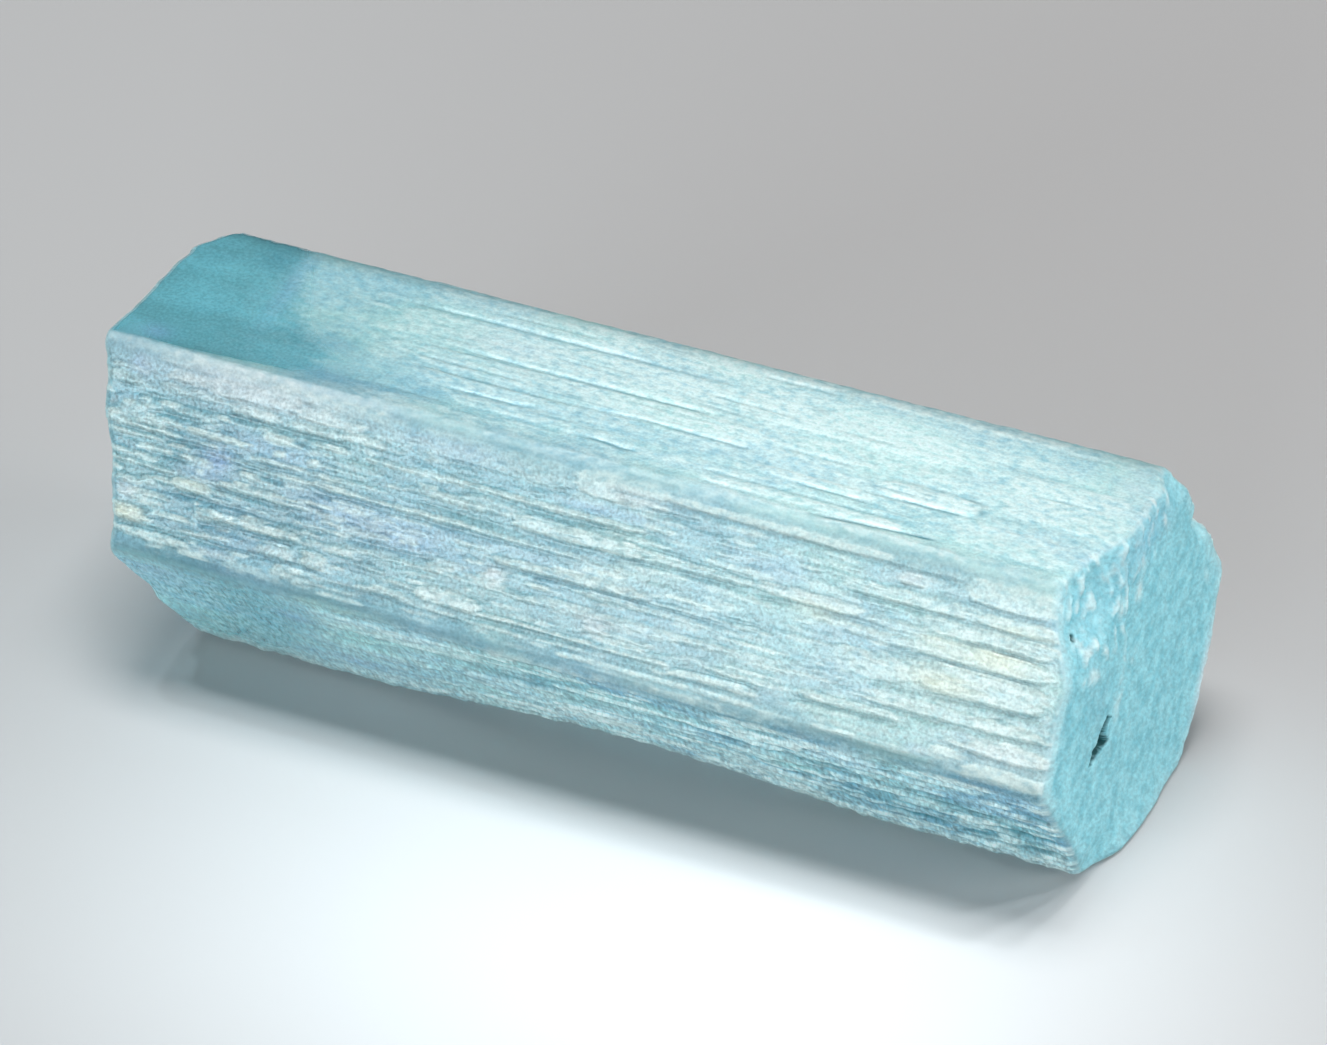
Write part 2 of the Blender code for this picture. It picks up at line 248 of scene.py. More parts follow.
@dataclass(frozen=True)
class Section:
    """The prism's six-sided section and how it changes along the crystal, in mm."""

    across_flats: float = 16.9
    lath_bed: float = 0.12
    edge_wear: float = 0.34
    fuller_from: float = -25.0
    fuller_over: float = 50.0
    scallop_start: float = -11.5
    scallop_end: float = 14.0
    scallop_depth: float = 0.18
    scallop_wear: float = 0.03
    scallop_sharpness: float = 1.3
    scallop_foot: float = 0.24
    back_swell: float = 0.45
    soft_edge: int = 1
    soft_reach: tuple[tuple[float, float], ...] = ((-20.0, 0.34), (-8.0, 0.5), (8.0, 0.75), (25.0, 0.75))
    # Reach of the worn band along the long edges: rougher, and darkened by painted shade.
    worn_and_shaded_reach: float = 0.8
    chip_reach: float = 0.26
    chip_rise: float = 0.09
    edge_jag: float = 0.032
    edge_jag_pitch: float = 1.1

    @property
    def apothem(self) -> float:
        """Half the width across the flats."""
        return self.across_flats / 2

    @property
    def circumradius(self) -> float:
        """Distance from the axis to a long edge."""
        return self.apothem / math.cos(math.pi / 6)

    def corner(self, number: int, x: np.ndarray) -> np.ndarray:
        """Place (Y, Z) of a long edge of the bed.

        Args:
            number: Which edge, 0 for the top back one, going round over the front.
            x: Places along the crystal.

        Returns:
            An array of (Y, Z) rows, one for each x.
        """
        number %= 6
        angle = math.radians(60.0 + 60.0 * number)
        radius = (self.apothem - self.lath_bed) / math.cos(math.pi / 6)
        spread = {0: (0.26, 0.10), 1: (-0.15, 0.0)}.get(number, (0.0, 0.0))
        shift = {0: (0.10, 0.10), 5: (0.12, 0.0)}.get(number, (0.0, 0.0))
        along = (x - self.fuller_from) / self.fuller_over
        y = radius * math.cos(angle) + shift[0] + spread[0] * along
        z = radius * math.sin(angle) + self.apothem + shift[1] + spread[1] * along
        if number == 3:
            front = self.corner(2, x)
            inside = np.clip((x - self.scallop_start) / (self.scallop_end - self.scallop_start), 0, 1)
            wear = self.scallop_wear + self.scallop_depth * np.sin(np.pi * inside) ** self.scallop_sharpness
            jag = ripple(x, x, self.edge_jag_pitch, self.edge_jag_pitch, 41.0)
            jag += 0.6 * ripple(x, x, self.edge_jag_pitch * 0.35, self.edge_jag_pitch * 0.35, 47.0)
            wear = np.maximum(wear + self.edge_jag * jag, 0.0)
            y = y + (front[:, 0] - y) * wear
            z = z + (front[:, 1] - z) * wear
        return np.stack([y, z], axis=1)

    def point(self, side: int, share: np.ndarray, x: np.ndarray) -> np.ndarray:
        """Point of one side's bed.

        Args:
            side: Number of the side.
            share: Places across the side, 0 to 1.
            x: Places along the crystal.

        Returns:
            An array of (Y, Z) rows.
        """
        first, second = self.corner(side, x), self.corner(side + 1, x)
        if side == Side.UNDERSIDE.value:
            flat_z = second[:, 1]
            foot_y = -self.circumradius / 2 + self.circumradius * self.scallop_foot
            climb = np.clip(share / self.scallop_foot, 0.0, 1.0)
            beyond = np.clip((share - self.scallop_foot) / (1.0 - self.scallop_foot), 0.0, 1.0)
            y = first[:, 0] + (foot_y - first[:, 0]) * climb + (second[:, 0] - foot_y) * beyond
            z = first[:, 1] + (flat_z - first[:, 1]) * climb
            return np.stack([y, z], axis=1)
        return first + (second - first) * share[:, None]

    def outward(self, side: int) -> np.ndarray:
        """Unit (Y, Z) direction that a side faces."""
        angle = math.radians(90.0 + 60.0 * side)
        return np.array([math.cos(angle), math.sin(angle)])

    @property
    def side_width(self) -> float:
        """Width of one side of the bed."""
        return (self.apothem - self.lath_bed) / math.cos(math.pi / 6)


@dataclass(frozen=True)
class Nick:
    """A soft dip (or, with a negative depth, a swell) of an end's rim.

    place goes round the section: the side's number plus the share across it.
    """

    place: float
    reach: float
    depth: float


@dataclass(frozen=True)
class BrokenEnd:
    """One blunt end: a leaning break with chips, lumps, an open crack and a pit."""

    end: End
    middle: float
    lean_y: float
    lean_z: float
    chips: tuple[Chip, ...]
    lump: float
    fine_lump: float = 0.035
    rim_round: float = 0.34
    rim_crumble: float = 0.18
    nicks: tuple[Nick, ...] = ()
    # Painted highlight in a band along the rim, by place round the section.
    rim_highlight: tuple[tuple[float, float], ...] = ((0.0, 0.5), (6.0, 0.5))
    crack: tuple[tuple[float, float], ...] = ()
    crack_depth: float = 1.5
    pits: tuple[Chip, ...] = ()
    chip_sharpness: float = 1.5
    rough: tuple[Chip, ...] = ()
    end_patches: tuple[EndPatch, ...] = ()
    lump_pitch: float = 2.6
    fine_pitch: float = 0.55

    def x_at(self, y: np.ndarray, z: np.ndarray, apothem: float) -> np.ndarray:
        """X of the broken surface.

        Args:
            y: Places across the section.
            z: Heights over the floor.
            apothem: Height of the section's middle.

        Returns:
            X of the break at each place, without its fine lumps and holes.
        """
        way = self.end.value
        x = self.middle + self.lean_y * y + self.lean_z * (z - apothem)
        for chip in self.chips:
            away = np.hypot(y - chip.y, z - chip.z) / chip.reach
            x = x - way * chip.depth * np.clip(1.0 - away * away, 0.0, 1.0) ** self.chip_sharpness
        return x + ripple(y, z, self.lump_pitch, self.lump_pitch, way * 2.7) * self.lump

    def set_back(self, place: np.ndarray, width: float) -> np.ndarray:
        """How far the rim stands back from the break, crumbs and nicks included.

        Args:
            place: Places round the section, 0 to 6.
            width: Width of a side in mm.

        Returns:
            The set-back in mm at each place.
        """
        turn = place * math.pi / 3
        round_trip = 6.0 * width / (2.0 * math.pi)
        y, z = np.cos(turn) * round_trip, np.sin(turn) * round_trip
        back = np.clip(ripple(y, z, 1.5, 1.5, 71.0) + 0.1, 0.0, 1.0) * self.rim_crumble
        back += ripple(y, z, 0.6, 0.6, 73.0) * self.rim_crumble * 0.3
        for nick in self.nicks:
            away = np.abs(place - nick.place)
            away = np.minimum(away, 6.0 - away) / nick.reach
            back = back + nick.depth * np.exp(-(away**2))
        return back

    def holes(self, y: np.ndarray, z: np.ndarray) -> np.ndarray:
        """How deep the open crack and the pits go at each place, in mm."""
        depth = np.zeros_like(y)
        if self.crack:
            depth = self.crack_depth * smoothstep(-0.07, 0.05, inside_outline(y, z, self.crack))
        for pit in self.pits:
            away = np.hypot(y - pit.y, z - pit.z) / pit.reach
            depth = np.maximum(depth, pit.depth * smoothstep(0.0, 0.55, 1.0 - away))
        return depth

    def grain(self, y: np.ndarray, z: np.ndarray) -> np.ndarray:
        """Fine lumps of the broken surface, in mm."""
        fine = ripple(y, z, self.fine_pitch, self.fine_pitch, 11.0) * self.fine_lump
        fine += ripple(y, z, self.fine_pitch * 0.4, self.fine_pitch * 0.4, 23.0) * self.fine_lump * 0.4
        for patch in self.rough:
            inside = smoothstep(0.0, 0.5, 1.0 - np.hypot(y - patch.y, z - patch.z) / patch.reach)
            fine += self.rubble(y, z) * inside * patch.depth
        return fine

    def rubble(self, y: np.ndarray, z: np.ndarray) -> np.ndarray:
        """Angular lumps of a chipped patch, about -1 to 1."""
        bend = ripple(y, z, 1.4, 1.4, 61.0) * 0.4
        coarse = ripple(y + bend, z - bend, 0.46, 0.80, 53.0)
        return np.clip(coarse * 2.0, -1.0, 1.0) + 0.4 * ripple(y, z, 0.24, 0.34, 57.0)

    def patch_strength(self, mask: Mask, y: np.ndarray, z: np.ndarray) -> np.ndarray:
        """How strong one mask is at places on the end."""
        found = np.zeros_like(y)
        for patch in self.end_patches:
            if patch.mask is mask:
                turn = math.radians(patch.turn)
                dy, dz = y - patch.y, z - patch.z
                along = (dy * math.cos(turn) + dz * math.sin(turn)) / patch.long
                across = (dz * math.cos(turn) - dy * math.sin(turn)) / patch.short
                found += patch.strength * np.exp(-(along**2) - across**2)
        return found


def inside_outline(y: np.ndarray, z: np.ndarray, outline: tuple[tuple[float, float], ...]) -> np.ndarray:
    """How far inside a closed outline each point lies.

    Args:
        y: First coordinates.
        z: Second coordinates.
        outline: Corners of the outline in order.

    Returns:
        Distance to the outline for points inside it, and minus the distance outside.
    """
    nearest = np.full_like(y, np.inf)
    inside = np.zeros(len(y), dtype=bool)
    for (y0, z0), (y1, z1) in zip(outline, outline[1:] + outline[:1]):
        dy, dz = y1 - y0, z1 - z0
        along = np.clip(((y - y0) * dy + (z - z0) * dz) / (dy * dy + dz * dz), 0.0, 1.0)
        nearest = np.minimum(nearest, np.hypot(y - y0 - along * dy, z - z0 - along * dz))
        crosses = ((z0 > z) != (z1 > z)) & (y < (y1 - y0) * (z - z0) / (z1 - z0 + 1e-12) + y0)
        inside ^= crosses
    return np.where(inside, nearest, -nearest)


# --------------------------------------------------------------------------------------
# The laths of the sides
# --------------------------------------------------------------------------------------


@dataclass(frozen=True)
class SideSkin:
    """The relief and the colours of one side."""

    side: Side
    cuts_across: int
    laths: tuple[Lath, ...] = ()
    grooves: tuple[Groove, ...] = ()
    clouds: tuple[Cloud, ...] = ()
    window: tuple[tuple[float, float], ...] = ()
    window_fade: float = 2.0
    scattered: int = 40
    scattered_rise: tuple[float, float] = (0.02, 0.10)
    # Range of painted highlight on the strewn laths.
    scattered_highlight: tuple[float, float] = (0.0, 0.5)
    scattered_length: tuple[float, float] = (1.0, 7.5)
    scattered_lines: int = 40
    rows: tuple[Rows, ...] = ()
    milk: tuple[tuple[float, float], ...] = ((-26.0, 0.8), (26.0, 0.8))
    bed_deep: tuple[tuple[float, float], ...] = ((-26.0, 0.0), (26.0, 0.0))
    # Painted highlight on the raised ripples of the bed.
    bed_highlight: float = 0.55
    fine_length: float = 4.0
    # Laths at least this high get a ring of painted shade round them.
    outline_shade_rise: float = 0.16
    lines_fade: float = 2.0
    wall: float = 0.13
    lath_scale: float = 0.7
    lines: float = 0.8
    speckle: tuple[tuple[float, float], ...] = ((-26.0, 0.45), (26.0, 0.45))
    chips: float = 0.0
    # Strength of this side's painted shade.
    groove_shade_gain: float = 1.0
    # Brightness of the side along the crystal: painted light and shade for how it faces the lights.
    tone: tuple[tuple[float, float], ...] = ((-26.0, 0.94), (26.0, 0.94))
    straw: tuple[tuple[float, float], ...] = ((-26.0, 0.0), (26.0, 0.0))
    base_frost: float = 0.8
    least_frost: float = 0.0
    bed_ripple: float = 0.05
    fine_ripple: float = 0.022
    crumble_ripple: float = 0.012

    def scattered_laths(self) -> list[Lath]:
        """Small laths strewn over the side where none is placed by name."""
        rng = random.Random(100 + self.side.value)
        made = []
        for _ in range(self.scattered):
            low, high = self.scattered_length
            length = low + (high - low) * rng.random() ** 2
            start = rng.uniform(-26.0, 24.0)
            upper = rng.uniform(0.0, 0.97)
            thick = rng.uniform(0.014, 0.045)
            rise = rng.uniform(*self.scattered_rise)
            made.append(Lath(start, start + length, upper, upper + thick, rise, rng.uniform(*self.scattered_highlight)))
        return made

    def scattered_grooves(self) -> list[Groove]:
        """Short fine grooves strewn over the side, darkened by painted shade."""
        rng = random.Random(300 + self.side.value)
        made = []
        for _ in range(self.scattered_lines):
            start = rng.uniform(-25.0, 23.0)
            share = rng.uniform(0.02, 0.98)
            slant = rng.uniform(-0.006, 0.006)
            end = start + 0.8 + 4.0 * rng.random() ** 2
            made.append(Groove(start, end, share, share + slant, rng.uniform(0.15, 0.6), 0.06, 0.02))
        return made

    def clear(self, x: np.ndarray, share: np.ndarray, fade: float) -> np.ndarray:
        """1 where the side is frosted over, 0 in its clear window.

        Args:
            x: Places along the crystal in mm.
            share: Places across the side, 0 to 1.
            fade: Length of the change from clear to frosted in mm.

        Returns:
            The frosting at each place.
        """
        if not self.window:
            return np.ones_like(x)
        shares = [point[0] for point in self.window]
        edges = [point[1] for point in self.window]
        edge = np.interp(share, shares, edges)
        return smoothstep(0.0, fade, x - edge)

    def dress(self, x: np.ndarray, share: np.ndarray, width: float) -> tuple[np.ndarray, dict[Mask, np.ndarray]]:
        """Work out the relief and the masks at points of the side.

        Args:
            x: Places along the crystal in mm.
            share: Places across the side, 0 to 1.
            width: Width of the side in mm.

        Returns:
            The height over the bed in mm, and each mask's values.
        """
        number = self.side.value
        across = share * width
        seed = 3.1 * number
        milky = self.clear(x, share, self.window_fade)
        frosted = self.clear(x, share, self.lines_fade)
        wander = ripple(x, across, 4.0, 2.4, seed) * 0.045 + ripple(x, across, 1.0, 0.8, seed + 1.0) * 0.03
        crumble = ripple(x, across, 0.6, 0.33, seed + 5.0)
        bent = across + wander + crumble * 0.05
        jag = ripple(across, x, 0.22, 2.0, seed + 2.0) * 0.35
        broad = ripple(x, bent, 12.0, 0.75, seed + 3.0)
        fine = ripple(x, bent, self.fine_length, 0.26, seed + 4.0)
        height = self.bed_ripple * broad + self.fine_ripple * fine + self.crumble_ripple * crumble
        masks = {mask: np.zeros_like(x) for mask in Mask}
        # Painted highlight on the high ripples of the bed.
        crest_highlight = np.clip(fine * 0.9 + broad * 0.5, 0.0, 1.0) * self.bed_highlight
        # Painted shade in the low ripples of the bed.
        groove_shade = np.clip(-fine * 0.9 - broad * 0.4 - 0.1, 0.0, 1.0) * 0.5
        strewn = [lath for rows in self.rows for lath in rows.laths(700 + number)]
        for lath in [*self.laths, *strewn, *self.scattered_laths()]:
            top, low = lath.upper * width, lath.lower * width
            near = (x > lath.start - 1.0) & (x < lath.end + 1.0) & (bent > top - 0.5) & (bent < low + 0.5)
            if not near.any():
                continue
            taper = min(1.1, 0.3 * (lath.end - lath.start))
            ends = np.minimum(x[near] - lath.start + jag[near], lath.end - x[near] + jag[near])
            slim = np.sqrt(np.clip(1.0 - np.clip(1.0 - ends / taper, 0.0, 2.0) ** 2, 0.0, 1.0))
            half, middle = (low - top) / 2, (low + top) / 2
            edges = half * (0.35 + 0.65 * slim) - np.abs(bent[near] - middle)
            profile = smoothstep(-0.03, self.wall, np.minimum(ends * 0.5, edges))
            height[near] += self.lath_scale * lath.rise * profile * (0.85 + 0.35 * crumble[near])
            # Painted highlight that whitens the lath's flat.
            crisp = smoothstep(-0.03, 0.045, np.minimum(ends * 0.5, edges))
            crest_highlight[near] = np.maximum(crest_highlight[near], lath.bright * crisp)
            # Painted shade round the tallest laths.
            if lath.rise >= self.outline_shade_rise:
                outline_shade = np.exp(-(((np.minimum(ends * 0.7, edges) + 0.07) / 0.07) ** 2))
                groove_shade[near] = np.maximum(groove_shade[near], 0.55 * outline_shade)
            # Painted shadow under each lath's lower wall.
            inside = smoothstep(-0.1, 0.2, ends)
            shadow = np.exp(-(((bent[near] - low - 0.06) / 0.075) ** 2)) * inside
            groove_shade[near] = np.maximum(groove_shade[near], shadow * min(1.0, lath.rise * 4.0) * 0.9)
        for line in [*self.grooves, *self.scattered_grooves()]:
            along = np.clip((x - line.start) / (line.end - line.start), 0.0, 1.0)
            middle = (line.share + (line.share_at_end - line.share) * along) * width
            ends = np.minimum(x - line.start, line.end - x)
            cut = np.exp(-(((across + wander * 0.4 - middle) / line.width) ** 2)) * smoothstep(-0.3, 0.7, ends)
            height -= line.depth * cut
            # Painted shade in the groove, with painted highlight taken away there.
            groove_shade = np.maximum(groove_shade, cut * line.painted_shade)
            crest_highlight = crest_highlight * (1.0 - cut * 0.8)
        masks[Mask.FROST] = self.least_frost + milky * (self.base_frost - self.least_frost)
        masks[Mask.LINES] = frosted * self.lines
        masks[Mask.CHIPS] = np.full_like(x, self.chips) * smoothstep(0.0, 0.5, np.minimum(across, width - across))
        inland = smoothstep(0.0, 0.9, np.minimum(across, width - across))
        # Painted light and shade of the side, eased to a shared value near its edges.
        masks[Mask.SIDE_LIGHT_AND_SHADE] = 0.81 + (np.interp(x, *zip(*self.tone)) - 0.81) * inland
        masks[Mask.STRAW] = np.interp(x, *zip(*self.straw))
        blotch = ripple(x, bent, 1.7, 0.5, seed + 6.0)
        places, amounts = zip(*self.bed_deep)
        deepness = np.interp(x, places, amounts) * np.clip(0.65 + 0.8 * blotch, 0.0, 1.2)
        masks[Mask.DEEP] = deepness * np.clip(1.0 - 1.6 * crest_highlight, 0.0, 1.0) * frosted
        places, amounts = zip(*self.milk)
        masks[Mask.MILK] = np.interp(x, places, amounts) * (self.least_frost + milky * (1.0 - self.least_frost))
        # Painted highlight on laths and ripples, faded out in the clear window.
        masks[Mask.CREST_HIGHLIGHT] = crest_highlight * frosted
        places, amounts = zip(*self.speckle)
        speckle = np.interp(x, places, amounts) * (1.0 - 0.4 * np.clip(crest_highlight, 0.0, 1.0))
        masks[Mask.SPECKLE] = speckle * (0.45 + 0.55 * inland)
        # Painted shade in grooves, under laths and round them.
        masks[Mask.GROOVE_SHADE] = groove_shade * frosted * self.groove_shade_gain
        for cloud in self.clouds:
            away = ((x - cloud.x) / cloud.reach) ** 2 + ((share - cloud.share) / cloud.reach_across) ** 2
            soft = np.exp(-away) * cloud.strength
            masks[cloud.mask] = masks[cloud.mask] + soft
        return height * (0.12 + 0.88 * frosted), masks


def top_skin() -> SideSkin:
    """The side that faces up: a clear window at its left end, then silky and finely lined."""
    laths = (
        Lath(-18.6, -14.6, 0.80, 0.835, 0.06, 0.9),
        Lath(-14.0, 3.0, 0.225, 0.44, 0.05, 0.35),
        Lath(-12.0, 5.5, 0.47, 0.61, 0.06, 0.4),
        Lath(3.5, 14.5, 0.21, 0.39, 0.04, 0.4),
        Lath(-13.0, -2.5, 0.02, 0.19, 0.05, 0.3),
        Lath(0.0, 7.0, 0.02, 0.075, 0.05, 0.4),
        Lath(8.5, 19.0, 0.02, 0.08, 0.05, 0.45),
        Lath(11.9, 16.9, 0.58, 0.69, 0.08, 0.45),
        Lath(-11.5, -4.0, 0.645, 0.735, 0.05, 0.3),
        Lath(6.0, 12.0, 0.70, 0.76, 0.06, 0.4),
        Lath(4.0, 14.0, 0.86, 0.915, 0.07, 0.5),
        Lath(-9.0, -1.0, 0.76, 0.835, 0.05, 0.3),
        Lath(10.0, 17.5, 0.945, 0.99, 0.07, 0.5),
        Lath(17.5, 23.5, 0.30, 0.62, 0.05, 0.4),
        Lath(16.5, 22.0, 0.72, 0.9, 0.05, 0.35),
        Lath(-13.5, -7.0, 0.89, 0.97, 0.05, 0.3),
    )
    grooves = (
        Groove(-14.0, 3.0, 0.20, 0.20, 0.55, 0.11),
        Groove(-6.0, -1.5, 0.197, 0.197, 0.8, 0.08),
        Groove(-10.0, -4.5, 0.45, 0.455, 0.45),
        Groove(-4.8, 2.6, 0.457, 0.452, 0.85),
        Groove(1.6, 4.6, 0.40, 0.402, 0.7),
        Groove(-12.0, -6.0, 0.635, 0.64, 0.5),
        Groove(-6.0, -0.5, 0.64, 0.62, 0.35),
        Groove(-0.6, 5.6, 0.61, 0.625, 0.7),
        Groove(-9.5, -5.6, 0.745, 0.74, 0.55),
        Groove(-6.0, -4.6, 0.738, 0.71, 0.35),
        Groove(-13.0, -9.2, 0.845, 0.85, 0.5),
        Groove(-2.4, 0.6, 0.83, 0.845, 0.95, 0.10),
        Groove(-0.8, 0.5, 0.845, 0.845, 0.7, 0.13),
        Groove(3.8, 14.0, 0.84, 0.84, 0.6),
        Groove(8.2, 12.2, 0.765, 0.775, 0.8),
        Groove(13.0, 16.6, 0.70, 0.695, 0.85),
        Groove(11.4, 13.4, 0.70, 0.70, 0.4),
        Groove(15.6, 17.1, 0.575, 0.58, 0.9),
        Groove(9.9, 16.0, 0.945, 0.90, 0.95, 0.10, 0.07),
        Groove(3.8, 8.2, 0.085, 0.083, 0.45),
        Groove(18.8, 21.4, 0.09, 0.083, 0.45),
        Groove(6.5, 10.2, 0.55, 0.55, 0.4),
        Groove(12.1, 15.8, 0.56, 0.56, 0.4),
        Groove(8.4, 11.4, 0.33, 0.335, 0.35),
        Groove(1.8, 6.6, 0.31, 0.318, 0.3),
        Groove(-10.0, -4.0, 0.12, 0.12, 0.3),
        Groove(-5.8, -3.4, 0.33, 0.34, 0.25),
        Groove(-12.0, -10.0, 0.39, 0.39, 0.3),
        Groove(-12.0, -6.5, 0.565, 0.565, 0.4),
        Groove(-3.0, 3.5, 0.985, 1.0, 0.6),
        Groove(18.9, 22.0, 0.43, 0.42, 0.25),
    )
    # Clouds of the crest mask are painted highlight; clouds of the groove mask are painted shade.
    clouds = (
        Cloud(Mask.DEEP, -21.0, 0.14, 1.0, 0.10, 0.55),
        Cloud(Mask.FROST, -20.8, 0.44, 0.45, 0.07, 0.35),
        Cloud(Mask.FROST, -23.2, 0.17, 0.8, 0.09, 0.16),
        Cloud(Mask.DEEP, -24.4, 0.25, 1.2, 0.20, 0.25),
        Cloud(Mask.DEEP, -22.8, 0.6, 1.6, 0.12, 0.2),
        Cloud(Mask.LILAC, -19.6, 0.3, 0.5, 0.3, 0.3),
        Cloud(Mask.LILAC, -24.0, 0.9, 0.8, 0.06, 0.4),
        Cloud(Mask.FROST, -24.9, 0.9, 0.9, 0.14, 0.45),
        Cloud(Mask.DEEP, -15.5, 0.66, 3.0, 0.10, 0.5),
        Cloud(Mask.DEEP, -15.0, 0.88, 2.6, 0.08, 0.5),
        Cloud(Mask.DEEP, -13.0, 0.86, 3.4, 0.10, 0.35),
        Cloud(Mask.CREST_HIGHLIGHT, 4.0, 0.30, 12.0, 0.28, 0.35),
        Cloud(Mask.CREST_HIGHLIGHT, -1.0, 0.10, 4.0, 0.07, 0.3),
        Cloud(Mask.CREST_HIGHLIGHT, 15.0, 0.45, 8.0, 0.40, 0.25),
        Cloud(Mask.CREST_HIGHLIGHT, -13.2, 0.57, 1.0, 0.10, 0.35),
        Cloud(Mask.DEEP, -7.0, 0.9, 9.0, 0.09, 0.25),
        Cloud(Mask.ROSE, -8.0, 0.34, 2.4, 0.08, 0.25),
        Cloud(Mask.ROSE, 22.8, 0.22, 1.2, 0.14, 0.3),
        Cloud(Mask.GROOVE_SHADE, 7.3, 0.235, 0.5, 0.02, 0.6),
        Cloud(Mask.GROOVE_SHADE, 1.35, 0.145, 0.2, 0.03, 0.6),
        Cloud(Mask.GROOVE_SHADE, 15.2, 0.395, 0.22, 0.014, 0.7),
        Cloud(Mask.GROOVE_SHADE, 18.7, 0.635, 0.22, 0.02, 0.4),
        Cloud(Mask.GROOVE_SHADE, 16.95, 0.64, 0.18, 0.05, 0.8),
        Cloud(Mask.GROOVE_SHADE, 15.1, 0.90, 0.4, 0.012, 0.7),
        Cloud(Mask.LILAC, 15.5, 0.42, 1.2, 0.14, 0.3),
        Cloud(Mask.CREST_HIGHLIGHT, -20.0, 1.0, 8.0, 0.022, 0.9),
        Cloud(Mask.CREST_HIGHLIGHT, 6.0, 0.45, 19.0, 1.2, 0.28),
        Cloud(Mask.CREST_HIGHLIGHT, -17.0, 0.30, 2.6, 0.35, 0.10),
        Cloud(Mask.ROSE, -18.0, 1.0, 7.0, 0.022, 0.5),
    )
    window = (
        (0.0, -20.6), (0.2, -20.2), (0.5, -19.0), (0.66, -17.6), (0.75, -16.0), (0.80, -16.8), (0.86, -16.6),
        (0.92, -17.6), (0.955, -22.0), (0.97, -27.5), (1.0, -28.0),
    )
    # The side facing up is painted lighter all over, as painted light.
    return SideSkin(
        Side.TOP, 99, laths, grooves, clouds, window, 1.5, 70, (0.008, 0.03), (0.05, 0.45), (1.0, 6.0), 70,
        lines_fade=7.0, lines=0.45, speckle=((-26.0, 0.3), (26.0, 0.3)), tone=((-26.0, 1.07), (26.0, 1.07)),
        bed_highlight=0.5, base_frost=0.5, bed_ripple=0.016, fine_ripple=0.008, crumble_ripple=0.004,
        milk=((-26.0, 0.7), (-20.0, 0.62), (-15.0, 0.66), (-8.0, 0.9), (2.0, 1.1), (25.0, 1.2)),
    )


